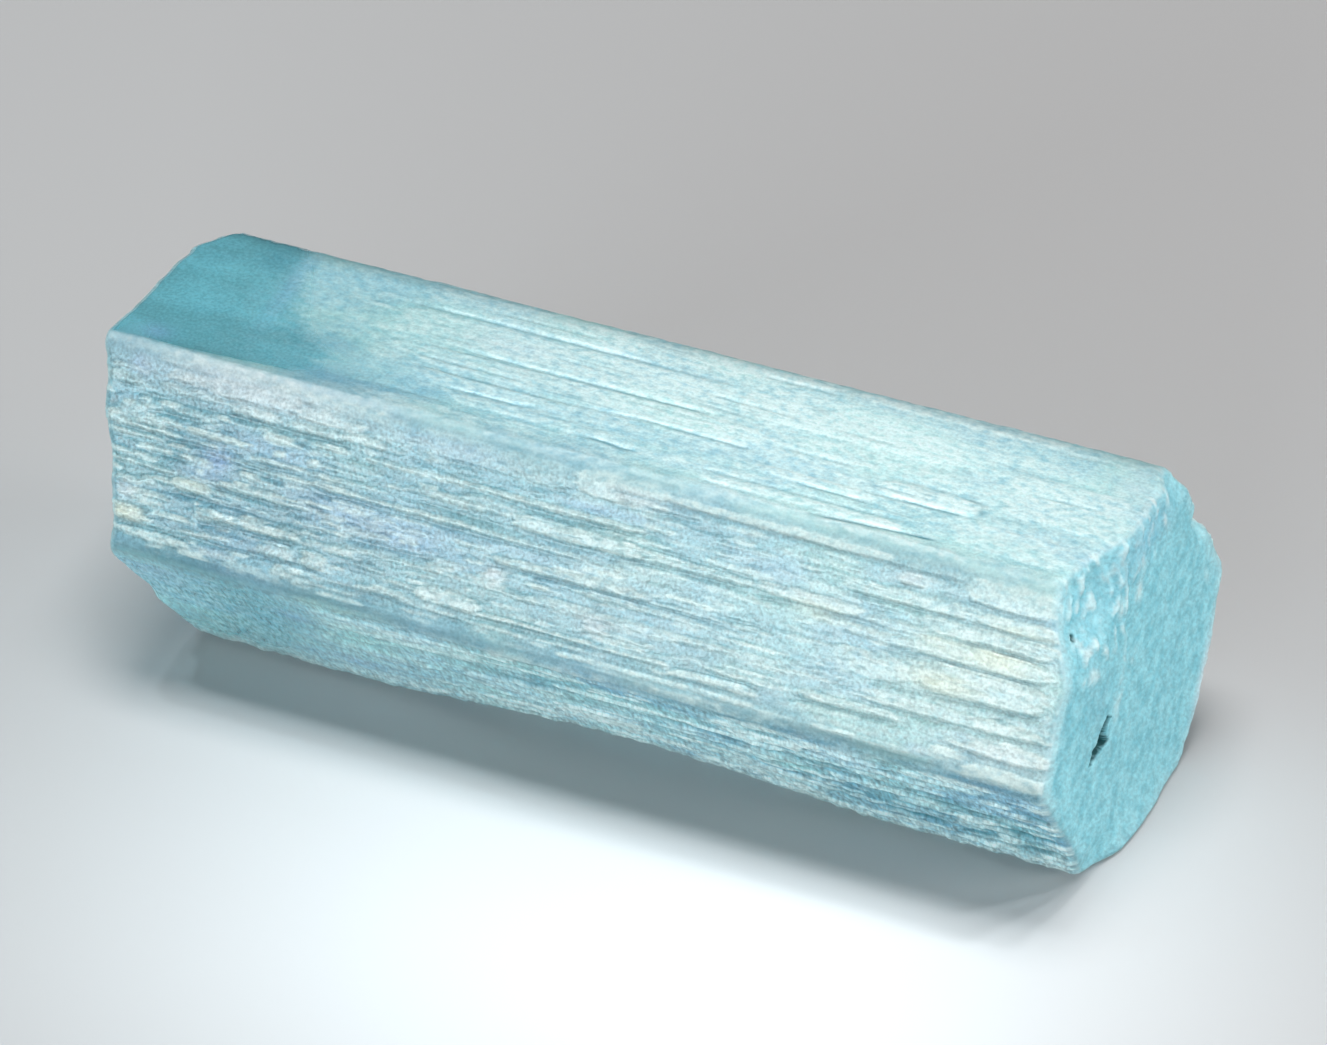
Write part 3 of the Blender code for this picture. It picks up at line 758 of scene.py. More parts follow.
def upper_front_skin() -> SideSkin:
    """The side above the front edge, with the boldest laths."""
    laths = (
        Lath(-23.0, -17.6, 0.005, 0.06, 0.10, 0.45),
        Lath(-17.4, -11.2, 0.01, 0.075, 0.12, 0.65),
        Lath(-22.6, -20.3, 0.065, 0.13, 0.12, 0.75),
        Lath(-20.6, -15.6, 0.055, 0.145, 0.15, 0.75),
        Lath(-15.9, -12.2, 0.08, 0.155, 0.14, 0.85),
        Lath(-25.6, -23.6, 0.14, 0.20, 0.10, 0.45),
        Lath(-22.9, -19.6, 0.145, 0.195, 0.12, 0.45),
        Lath(-19.2, -16.4, 0.15, 0.21, 0.14, 0.7),
        Lath(-16.2, -13.4, 0.16, 0.215, 0.12, 0.55),
        Lath(-13.6, -11.0, 0.15, 0.20, 0.12, 0.75),
        Lath(-12.2, -9.8, 0.02, 0.20, 0.08, 0.3),
        Lath(-9.8, -1.6, 0.02, 0.16, 0.10, 0.35),
        Lath(-1.6, 3.2, 0.015, 0.15, 0.14, 0.85),
        Lath(3.0, 14.2, 0.035, 0.085, 0.14, 0.85),
        Lath(-9.1, -8.4, 0.14, 0.185, 0.10, 0.85),
        Lath(-12.0, 2.4, 0.235, 0.268, 0.12, 0.75),
        Lath(14.6, 16.2, 0.105, 0.165, 0.12, 0.75),
        Lath(18.0, 22.3, 0.03, 0.175, 0.10, 0.65),
        Lath(12.2, 18.4, 0.19, 0.262, 0.12, 0.6),
        Lath(18.4, 22.9, 0.195, 0.262, 0.12, 0.75),
        Lath(-24.8, -22.6, 0.30, 0.345, 0.08, 0.45),
        Lath(-25.6, -22.2, 0.335, 0.41, 0.14, 0.75),
        Lath(-25.2, -22.0, 0.42, 0.445, 0.08, 0.6),
        Lath(-23.2, -19.6, 0.255, 0.285, 0.08, 0.4),
        Lath(-23.0, -17.6, 0.245, 0.262, 0.05, 0.3),
        Lath(-21.2, -18.4, 0.325, 0.368, 0.15, 0.95),
        Lath(-17.2, -15.5, 0.25, 0.29, 0.14, 0.9),
        Lath(-17.8, -14.6, 0.385, 0.412, 0.10, 0.65),
        Lath(-14.6, -10.6, 0.385, 0.405, 0.07, 0.4),
        Lath(-19.0, -6.0, 0.435, 0.462, 0.13, 0.72),
        Lath(-6.0, -0.4, 0.44, 0.47, 0.09, 0.5),
        Lath(-9.8, -4.2, 0.32, 0.362, 0.12, 0.55),
        Lath(-4.2, 2.4, 0.315, 0.395, 0.16, 0.85),
        Lath(2.6, 8.2, 0.34, 0.378, 0.13, 0.6),
        Lath(8.0, 13.4, 0.325, 0.385, 0.16, 0.85),
        Lath(13.4, 16.4, 0.34, 0.40, 0.08, 0.4),
        Lath(-24.7, -22.3, 0.515, 0.545, 0.10, 0.7),
        Lath(-24.6, -22.4, 0.555, 0.585, 0.12, 0.75),
        Lath(-18.9, -14.6, 0.545, 0.585, 0.14, 0.85),
        Lath(-21.3, -19.3, 0.585, 0.65, 0.16, 0.9),
        Lath(-18.0, -15.6, 0.50, 0.52, 0.06, 0.4),
        Lath(-12.8, -9.9, 0.60, 0.645, 0.08, 0.4),
        Lath(-12.2, -8.0, 0.53, 0.565, 0.06, 0.35),
        Lath(-4.9, 3.2, 0.545, 0.59, 0.16, 0.8),
        Lath(-0.4, 3.6, 0.53, 0.555, 0.07, 0.7),
        Lath(3.0, 9.5, 0.565, 0.59, 0.10, 0.5),
        Lath(0.0, 6.2, 0.605, 0.64, 0.10, 0.55),
        Lath(12.6, 14.2, 0.53, 0.62, 0.10, 0.55),
        Lath(-24.3, -22.9, 0.64, 0.68, 0.10, 0.8),
        Lath(-24.1, -22.8, 0.70, 0.745, 0.10, 0.7),
        Lath(-22.8, -21.2, 0.70, 0.735, 0.10, 0.7),
        Lath(-22.8, -21.4, 0.61, 0.645, 0.08, 0.5),
        Lath(-20.0, -14.4, 0.705, 0.752, 0.20, 0.92),
        Lath(-20.1, -18.2, 0.745, 0.775, 0.12, 0.7),
        Lath(-14.2, -11.8, 0.715, 0.735, 0.08, 0.6),
        Lath(-11.6, -5.2, 0.695, 0.72, 0.09, 0.5),
        Lath(-8.0, -6.6, 0.665, 0.715, 0.12, 0.7),
        Lath(-5.2, -4.0, 0.62, 0.72, 0.14, 0.8),
        Lath(-2.9, -1.4, 0.635, 0.665, 0.12, 0.8),
        Lath(-4.9, 2.0, 0.705, 0.735, 0.10, 0.55),
        Lath(-24.0, -22.3, 0.785, 0.865, 0.16, 0.85),
        Lath(-14.15, -13.1, 0.765, 0.86, 0.18, 0.85),
        Lath(-16.4, -14.6, 0.785, 0.86, 0.10, 0.55),
        Lath(-19.4, -17.9, 0.815, 0.845, 0.07, 0.5),
        Lath(-8.3, -5.15, 0.79, 0.865, 0.19, 0.88),
        Lath(-9.9, -8.3, 0.80, 0.83, 0.12, 0.65),
        Lath(-11.2, -8.2, 0.865, 0.89, 0.12, 0.7),
        Lath(-4.9, 4.6, 0.84, 0.862, 0.13, 0.88),
        Lath(0.4, 8.0, 0.69, 0.735, 0.09, 0.6),
        Lath(0.1, 1.4, 0.745, 0.795, 0.12, 0.8),
        Lath(4.6, 9.2, 0.855, 0.895, 0.16, 0.88),
        Lath(8.2, 12.4, 0.71, 0.735, 0.09, 0.6),
        Lath(11.2, 16.2, 0.785, 0.832, 0.15, 0.75),
        Lath(-23.7, -19.8, 0.89, 0.93, 0.16, 0.9),
        Lath(-19.8, -17.2, 0.89, 0.93, 0.10, 0.5),
        Lath(-15.6, -13.0, 0.88, 0.945, 0.14, 0.7),
        Lath(-4.8, -2.4, 0.895, 0.915, 0.10, 0.6),
        Lath(-0.9, 1.6, 0.885, 0.90, 0.10, 0.7),
        Lath(-1.0, 9.0, 0.92, 0.95, 0.12, 0.8),
        Lath(3.0, 8.0, 0.965, 0.985, 0.10, 0.7),
        Lath(11.8, 17.0, 0.935, 0.965, 0.14, 0.7),
        Lath(9.0, 11.8, 0.965, 0.985, 0.08, 0.5),
        Lath(17.9, 19.6, 0.875, 0.925, 0.16, 0.9),
        Lath(19.3, 23.4, 0.92, 1.02, 0.18, 0.92),
        Lath(19.4, 23.2, 0.79, 0.885, 0.14, 0.8),
        Lath(16.4, 22.8, 0.485, 0.635, 0.13, 0.65),
        Lath(16.0, 22.8, 0.375, 0.472, 0.13, 0.7),
        Lath(16.2, 22.8, 0.275, 0.36, 0.12, 0.6),
        Lath(14.0, 19.5, 0.69, 0.765, 0.10, 0.5),
        Lath(19.5, 23.0, 0.69, 0.765, 0.14, 0.7),
        Lath(12.4, 16.0, 0.41, 0.47, 0.10, 0.55),
        Lath(12.2, 16.2, 0.52, 0.65, 0.08, 0.5),
        Lath(-3.9, -1.2, 1.0, 1.03, 0.06, 0.7),
    )
    grooves = (
        Groove(-24.0, -12.5, 0.228, 0.225, 0.75, 0.10),
        Groove(-23.2, -18.2, 0.30, 0.298, 0.5),
        Groove(-4.0, 2.0, 0.29, 0.285, 0.7, 0.10),
        Groove(2.0, 2.6, 0.285, 0.25, 0.6),
        Groove(2.4, 8.0, 0.32, 0.335, 0.6),
        Groove(1.6, 4.8, 0.133, 0.135, 0.7),
        Groove(0.0, 18.2, 0.092, 0.094, 0.6),
        Groove(14.0, 18.0, 0.095, 0.095, 0.7),
        Groove(14.2, 15.8, 0.172, 0.172, 0.7),
        Groove(16.2, 22.6, 0.165, 0.18, 0.75),
        Groove(12.2, 22.6, 0.270, 0.270, 0.8),
        Groove(16.2, 17.4, 0.307, 0.307, 0.6),
        Groove(18.3, 22.0, 0.362, 0.368, 0.75),
        Groove(16.0, 22.6, 0.478, 0.478, 0.8),
        Groove(14.4, 17.0, 0.50, 0.50, 0.4),
        Groove(14.0, 22.8, 0.665, 0.635, 0.65),
        Groove(19.6, 23.0, 0.645, 0.64, 0.6),
        Groove(14.0, 23.0, 0.775, 0.77, 0.5),
        Groove(10.0, 18.8, 0.972, 0.985, 0.85, 0.12),
        Groove(18.2, 23.6, 0.875, 0.90, 0.6),
        Groove(12.0, 12.4, 0.76, 0.775, 0.5),
        Groove(10.8, 16.4, 0.845, 0.84, 0.75),
        Groove(16.25, 16.75, 0.84, 0.92, 0.8, 0.12),
        Groove(-10.0, 0.4, 0.395, 0.41, 0.6),
        Groove(0.4, 4.0, 0.425, 0.395, 0.6),
        Groove(4.0, 8.0, 0.395, 0.395, 0.6),
        Groove(8.0, 10.4, 0.42, 0.395, 0.9, 0.11),
        Groove(10.4, 14.4, 0.397, 0.395, 0.5),
        Groove(-14.0, -0.4, 0.485, 0.475, 0.6, 0.10),
        Groove(-5.0, 7.6, 0.60, 0.585, 0.8, 0.11),
        Groove(6.4, 9.6, 0.555, 0.56, 0.6),
        Groove(-22.0, -13.0, 0.67, 0.665, 0.5, 0.14),
        Groove(-12.0, -7.4, 0.665, 0.65, 0.65, 0.11),
        Groove(-20.0, -14.6, 0.785, 0.765, 0.5, 0.12),
        Groove(-24.0, -20.2, 0.875, 0.875, 0.75, 0.11),
        Groove(-19.8, -13.4, 0.875, 0.865, 0.6),
        Groove(-14.0, -9.2, 0.94, 0.945, 0.6),
        Groove(-14.4, -4.8, 0.91, 0.92, 0.35),
        Groove(-4.9, 4.4, 0.878, 0.878, 0.5),
        Groove(4.6, 9.4, 0.845, 0.845, 0.7),
        Groove(-1.0, 9.6, 0.912, 0.912, 0.6),
        Groove(-19.8, -14.4, 0.60, 0.60, 0.45),
        Groove(-18.0, -15.0, 0.43, 0.425, 0.45),
        Groove(-22.0, -18.2, 0.425, 0.40, 0.4),
        Groove(-22.6, -20.0, 0.50, 0.50, 0.4),
    )
    # Clouds of the crest mask are painted highlight.
    clouds = (
        Cloud(Mask.ROSE, -18.5, 0.08, 5.5, 0.09, 0.75),
        Cloud(Mask.LILAC, -20.0, 0.03, 1.6, 0.04, 0.5),
        Cloud(Mask.LILAC, -17.0, 0.34, 4.0, 0.08, 0.5),
        Cloud(Mask.LILAC, -4.0, 0.50, 3.0, 0.05, 0.5),
        Cloud(Mask.LILAC, -24.0, 0.10, 0.7, 0.07, 0.8),
        Cloud(Mask.LILAC, -19.3, 0.46, 0.9, 0.06, 1.0),
        Cloud(Mask.LILAC, -20.0, 0.55, 1.4, 0.05, 0.5),
        Cloud(Mask.LILAC, -12.5, 0.55, 4.0, 0.12, 0.5),
        Cloud(Mask.LILAC, -8.5, 0.6, 4.0, 0.10, 0.45),
        Cloud(Mask.LILAC, 0.0, 0.20, 2.4, 0.035, 0.7),
        Cloud(Mask.LILAC, 8.6, 0.24, 2.4, 0.10, 0.6),
        Cloud(Mask.LILAC, -8.0, 0.09, 3.4, 0.07, 0.6),
        Cloud(Mask.LILAC, -18.6, 0.91, 1.3, 0.03, 0.6),
        Cloud(Mask.LILAC, 17.2, 0.93, 0.6, 0.03, 0.7),
        Cloud(Mask.DEEP, -21.2, 0.52, 1.0, 0.09, 0.7),
        Cloud(Mask.DEEP, -21.6, 0.42, 0.9, 0.06, 0.4),
        Cloud(Mask.DEEP, -19.5, 0.68, 5.0, 0.03, 0.55),
        Cloud(Mask.DEEP, -18.5, 0.82, 2.6, 0.04, 0.5),
        Cloud(Mask.DEEP, -13.7, 0.56, 0.5, 0.06, 0.4),
        Cloud(Mask.DEEP, -21.0, 0.98, 3.5, 0.04, 0.55),
        Cloud(Mask.DEEP, -16.0, 0.99, 3.5, 0.03, 0.2),
        Cloud(Mask.DEEP, -4.0, 0.98, 9.0, 0.03, 0.1),
        Cloud(Mask.DEEP, 8.0, 1.0, 5.0, 0.03, 0.5),
        Cloud(Mask.DEEP, 4.0, 0.78, 4.5, 0.035, 0.4),
        Cloud(Mask.DEEP, 9.6, 0.87, 0.8, 0.05, 0.5),
        Cloud(Mask.DEEP, -11.0, 0.75, 1.6, 0.05, 0.3),
        Cloud(Mask.DEEP, -6.0, 0.64, 1.0, 0.04, 0.3),
        Cloud(Mask.DEEP, 6.0, 0.19, 4.5, 0.08, 0.25),
        Cloud(Mask.ROSE, -4.6, 0.64, 0.5, 0.04, 0.7),
        Cloud(Mask.ROSE, 0.8, 0.75, 0.9, 0.05, 0.6),
        Cloud(Mask.ROSE, 1.5, 0.10, 2.0, 0.04, 0.5),
        Cloud(Mask.ROSE, 15.3, 0.13, 0.9, 0.03, 0.6),
        Cloud(Mask.ROSE, -23.6, 0.72, 0.5, 0.04, 0.6),
        Cloud(Mask.ROSE, 10.5, 0.34, 2.0, 0.03, 0.3),
        Cloud(Mask.ROSE, 21.5, 0.84, 2.0, 0.06, 0.35),
        Cloud(Mask.STRAW, 20.0, 0.41, 1.6, 0.05, 0.9),
        Cloud(Mask.STRAW, 17.6, 0.58, 1.6, 0.06, 0.75),
        Cloud(Mask.STRAW, 17.0, 0.40, 1.0, 0.05, 0.35),
        Cloud(Mask.STRAW, -23.4, 0.82, 0.9, 0.04, 0.95),
        Cloud(Mask.STRAW, -20.4, 0.61, 0.9, 0.03, 0.5),
        Cloud(Mask.STRAW, 11.2, 0.40, 1.4, 0.05, 0.5),
        Cloud(Mask.STRAW, 21.0, 0.25, 1.4, 0.03, 0.4),
        Cloud(Mask.STRAW, 2.0, 0.47, 3.0, 0.04, 0.2),
        Cloud(Mask.CREST_HIGHLIGHT, 20.0, 0.5, 4.5, 0.6, 0.22),
        Cloud(Mask.CREST_HIGHLIGHT, -19.0, 0.0, 8.5, 0.03, 0.8),
        Cloud(Mask.CREST_HIGHLIGHT, 1.0, 0.5, 4.0, 0.10, 0.15),
    )
    # The side is painted darker all over, as painted shade.
    return SideSkin(
        Side.UPPER_FRONT, 99, laths, grooves, clouds, (), 2.0, 100, (0.02, 0.08), (0.1, 0.6), (0.5, 3.0), 70,
        bed_highlight=0.12, fine_length=1.6, lines=0.24, lath_scale=0.62, groove_shade_gain=0.82, tone=((-26.0, 0.675), (-8.0, 0.66), (8.0, 0.705), (24.0, 0.735)),
        straw=((-26.0, 0.08), (0.0, 0.12), (24.0, 0.18)),
        speckle=((-26.0, 0.66), (-12.0, 0.55), (4.0, 0.46), (24.0, 0.42)), base_frost=0.8, bed_ripple=0.03, fine_ripple=0.024,
        crumble_ripple=0.026,
        rows=(
            Rows((-25.5, -13.0), (0.23, 0.96), (0.4, 2.0), (0.5, 2.4), (0.026, 0.046), (0.5, 1.1), (0.06, 0.14)),
            Rows((-14.0, 1.0), (0.24, 0.97), (0.6, 3.6), (0.8, 3.4), (0.022, 0.040), (0.25, 0.85)),
            Rows((1.0, 16.0), (0.10, 0.97), (0.8, 4.0), (0.8, 3.8), (0.020, 0.038), (0.25, 0.8), (0.03, 0.07)),
        ),
        milk=((-26.0, 0.28), (-19.0, 0.22), (-13.0, 0.30), (-6.0, 0.38), (2.0, 0.5), (9.0, 0.7), (22.0, 0.85)),
        bed_deep=((-26.0, 0.6), (-19.0, 0.75), (-13.0, 0.65), (-6.0, 0.5), (2.0, 0.4), (10.0, 0.25), (22.0, 0.15)),
    )


def lower_front_skin() -> SideSkin:
    """The side under the front edge, bluer and quieter, with a scalloped lower edge."""
    laths = (
        Lath(-14.0, -5.0, 0.12, 0.30, 0.10, 0.55),
        Lath(-23.6, -22.2, 0.0, 0.06, 0.08, 0.8),
        Lath(-16.2, -8.2, 0.50, 0.60, 0.08, 0.3),
        Lath(-6.5, -1.0, 0.46, 0.62, 0.08, 0.4),
        Lath(-1.4, 10.2, 0.295, 0.345, 0.13, 0.75),
        Lath(7.8, 11.3, 0.165, 0.275, 0.17, 0.92),
        Lath(11.2, 12.4, 0.07, 0.18, 0.15, 0.92),
        Lath(12.4, 14.0, 0.05, 0.18, 0.10, 0.5),
        Lath(13.0, 17.4, 0.22, 0.27, 0.10, 0.55),
        Lath(16.2, 17.6, 0.09, 0.16, 0.12, 0.7),
        Lath(2.0, 9.6, 0.495, 0.53, 0.10, 0.5),
        Lath(12.0, 16.2, 0.43, 0.49, 0.10, 0.5),
        Lath(15.4, 16.0, 0.43, 0.48, 0.08, 0.8),
        Lath(-2.0, 2.4, 0.60, 0.78, 0.10, 0.7),
        Lath(6.4, 8.6, 0.66, 0.80, 0.10, 0.7),
        Lath(9.6, 12.2, 0.68, 0.73, 0.09, 0.6),
        Lath(18.2, 19.6, 0.56, 0.66, 0.09, 0.45),
        Lath(12.4, 21.5, 0.84, 0.95, 0.08, 0.35),
        Lath(21.4, 22.3, 0.33, 0.38, 0.08, 0.75),
        Lath(-4.4, 1.2, 0.0, 0.05, 0.10, 0.75),
        Lath(1.2, 9.8, -0.02, 0.01, 0.08, 0.6),
    )
    grooves = (
        Groove(-5.0, 20.0, 0.385, 0.385, 0.55, 0.22),
        Groove(-5.4, -1.6, 0.40, 0.40, 0.6, 0.25),
        Groove(10.2, 12.2, 0.37, 0.375, 0.75, 0.16),
        Groove(16.0, 18.8, 0.38, 0.375, 0.55, 0.14),
        Groove(14.2, 16.0, 0.19, 0.19, 0.9, 0.16),
        Groove(8.0, 11.0, 0.14, 0.14, 0.45, 0.16),
        Groove(14.4, 17.8, 0.71, 0.73, 1.0, 0.28, 0.10),
        Groove(18.0, 20.4, 0.76, 0.72, 0.8, 0.20),
        Groove(20.2, 23.6, 0.58, 0.59, 1.0, 0.30, 0.12),
        Groove(11.4, 14.6, 0.34, 0.35, 0.8, 0.18, 0.08),
        Groove(17.0, 21.0, 0.44, 0.46, 0.9, 0.20, 0.08),
        Groove(22.0, 23.8, 0.30, 0.32, 0.9, 0.22, 0.08),
        Groove(21.0, 23.4, 0.77, 0.74, 0.8, 0.36),
        Groove(2.0, 8.0, 0.56, 0.56, 0.4, 0.14),
        Groove(9.8, 13.6, 0.58, 0.56, 0.6, 0.20),
        Groove(-16.0, -9.8, 0.46, 0.44, 0.35, 0.22),
        Groove(-10.0, -9.2, 0.40, 0.34, 0.4, 0.12),
    )
    # Clouds of the crest mask are painted highlight.
    clouds = (
        Cloud(Mask.DEEP, 1.5, 0.20, 6.5, 0.12, 0.75),
        Cloud(Mask.DEEP, -3.4, 0.36, 2.2, 0.10, 0.6),
        Cloud(Mask.DEEP, 6.0, 0.42, 4.5, 0.05, 0.45),
        Cloud(Mask.DEEP, 12.5, 0.56, 2.0, 0.05, 0.5),
        Cloud(Mask.DEEP, 16.2, 0.62, 4.0, 0.14, 0.5),
        Cloud(Mask.DEEP, 22.3, 0.40, 1.4, 0.25, 0.7),
        Cloud(Mask.DEEP, -17.0, 0.48, 1.4, 0.22, 0.2),
        Cloud(Mask.LILAC, -21.5, 0.22, 2.6, 0.16, 0.35),
        Cloud(Mask.MILK, -21.0, 0.5, 5.0, 0.5, 0.35),
        Cloud(Mask.LILAC, -15.0, 0.32, 1.2, 0.08, 0.4),
        Cloud(Mask.LILAC, -13.0, 0.72, 3.0, 0.14, 0.45),
        Cloud(Mask.FROST, -21.6, 0.68, 0.9, 0.10, 0.5),
        Cloud(Mask.CREST_HIGHLIGHT, 0.2, 0.68, 2.4, 0.08, 0.5),
        Cloud(Mask.CREST_HIGHLIGHT, -9.0, 0.88, 8.0, 0.08, 0.5),
        Cloud(Mask.CREST_HIGHLIGHT, 1.0, 0.80, 6.0, 0.05, 0.6),
        Cloud(Mask.CREST_HIGHLIGHT, 8.0, 0.86, 4.0, 0.05, 0.6),
        Cloud(Mask.CREST_HIGHLIGHT, 6.0, 0.98, 12.0, 0.06, 0.8),
        Cloud(Mask.CREST_HIGHLIGHT, 18.0, 0.97, 6.0, 0.06, 0.6),
        Cloud(Mask.CREST_HIGHLIGHT, -19.0, 0.97, 8.0, 0.06, 0.7),
        Cloud(Mask.CREST_HIGHLIGHT, 22.5, 0.86, 1.2, 0.07, 0.4),
    )
    window = ((0.0, -18.5), (0.2, -17.0), (0.5, -17.5), (0.8, -18.0), (1.0, -18.5))
    # The side is painted lighter all over, as painted light, though it faces down.
    return SideSkin(
        Side.LOWER_FRONT, 83, laths, grooves, clouds, window, 6.0, 70, (0.02, 0.07), (0.1, 0.7), (0.8, 5.0), 60,
        bed_highlight=0.25, lines_fade=8.0, lines=0.45, chips=1.0, groove_shade_gain=1.15, tone=((-26.0, 1.04), (26.0, 1.06)),
        speckle=((-26.0, 0.66), (-16.0, 0.7), (-8.0, 0.8), (24.0, 1.1)), base_frost=0.8, least_frost=0.35,
        bed_ripple=0.03, fine_ripple=0.022, crumble_ripple=0.03, fine_length=2.4,
        rows=(
            Rows((-5.0, 12.0), (0.04, 0.96), (1.0, 4.5), (0.8, 3.6), (0.035, 0.07), (0.2, 0.85)),
            Rows((8.0, 24.0), (0.03, 0.96), (0.8, 3.6), (0.6, 2.6), (0.04, 0.09), (0.3, 1.0), (0.05, 0.13)),
            Rows((-16.0, -5.0), (0.06, 0.9), (1.5, 4.0), (2.5, 6.0), bright=(0.1, 0.4), rise=(0.01, 0.04)),
        ),
        milk=((-26.0, 1.1), (-16.0, 1.0), (-11.0, 1.1), (-5.0, 1.0), (4.0, 0.8), (14.0, 0.8), (24.0, 0.7)),
        bed_deep=((-26.0, 0.0), (-10.0, 0.05), (-4.0, 0.25), (5.0, 0.4), (12.0, 0.75), (24.0, 0.95)),
    )


def quiet_skin(side: Side, cuts: int, scattered: int, clear_left: bool) -> SideSkin:
    """A side with no named laths: long ones strewn by chance.

    Args:
        side: Which side.
        cuts: Lines across the side.
        scattered: How many small laths it carries.
        clear_left: True if its left end is a clear window.

    Returns:
        The side's skin.
    """
    rng = random.Random(500 + side.value)
    laths = []
    share = 0.02
    while share < 0.97:
        thick = rng.uniform(0.025, 0.085)
        x = rng.uniform(-27.0, -18.0)
        while x < 23.0:
            length = rng.uniform(3.0, 13.0)
            laths.append(Lath(x, x + length, share, share + thick, rng.uniform(0.05, 0.17), rng.uniform(0.2, 0.9)))
            x += length + rng.uniform(0.2, 2.5)
        share += thick + rng.uniform(0.008, 0.03)
    clouds = []
    for mask, count, strength in ((Mask.DEEP, 7, 0.6), (Mask.LILAC, 4, 0.5), (Mask.ROSE, 3, 0.4), (Mask.STRAW, 2, 0.5)):
        for _ in range(count):
            clouds.append(
                Cloud(mask, rng.uniform(-24.0, 22.0), rng.uniform(0.1, 0.9), rng.uniform(1.5, 5.0),
                      rng.uniform(0.04, 0.14), strength * rng.uniform(0.5, 1.0))
            )
    window = ((0.0, -20.0), (0.4, -18.0), (1.0, -19.0)) if clear_left else ()
    return SideSkin(
        side, cuts, tuple(laths), (), tuple(clouds), window, 3.0, scattered, (0.02, 0.08), (0.1, 0.8), (0.8, 5.0),
        base_frost=0.8, bed_ripple=0.04, fine_ripple=0.025, crumble_ripple=0.015,
        rows=(Rows((-25.0, 24.0), (0.03, 0.97), (0.9, 4.5), (1.0, 6.0), bright=(0.2, 0.9)),),
        milk=((-26.0, 0.45), (-10.0, 0.5), (25.0, 0.7)),
    )


# --------------------------------------------------------------------------------------
# The crystal's mesh
# --------------------------------------------------------------------------------------


def edit_mode() -> None:
    """Open the active object for editing with nothing selected."""
    bpy.ops.object.mode_set(mode="EDIT")
    bpy.ops.mesh.select_all(action="DESELECT")


def object_mode() -> None:
    """Leave editing."""
    bpy.ops.object.mode_set(mode="OBJECT")


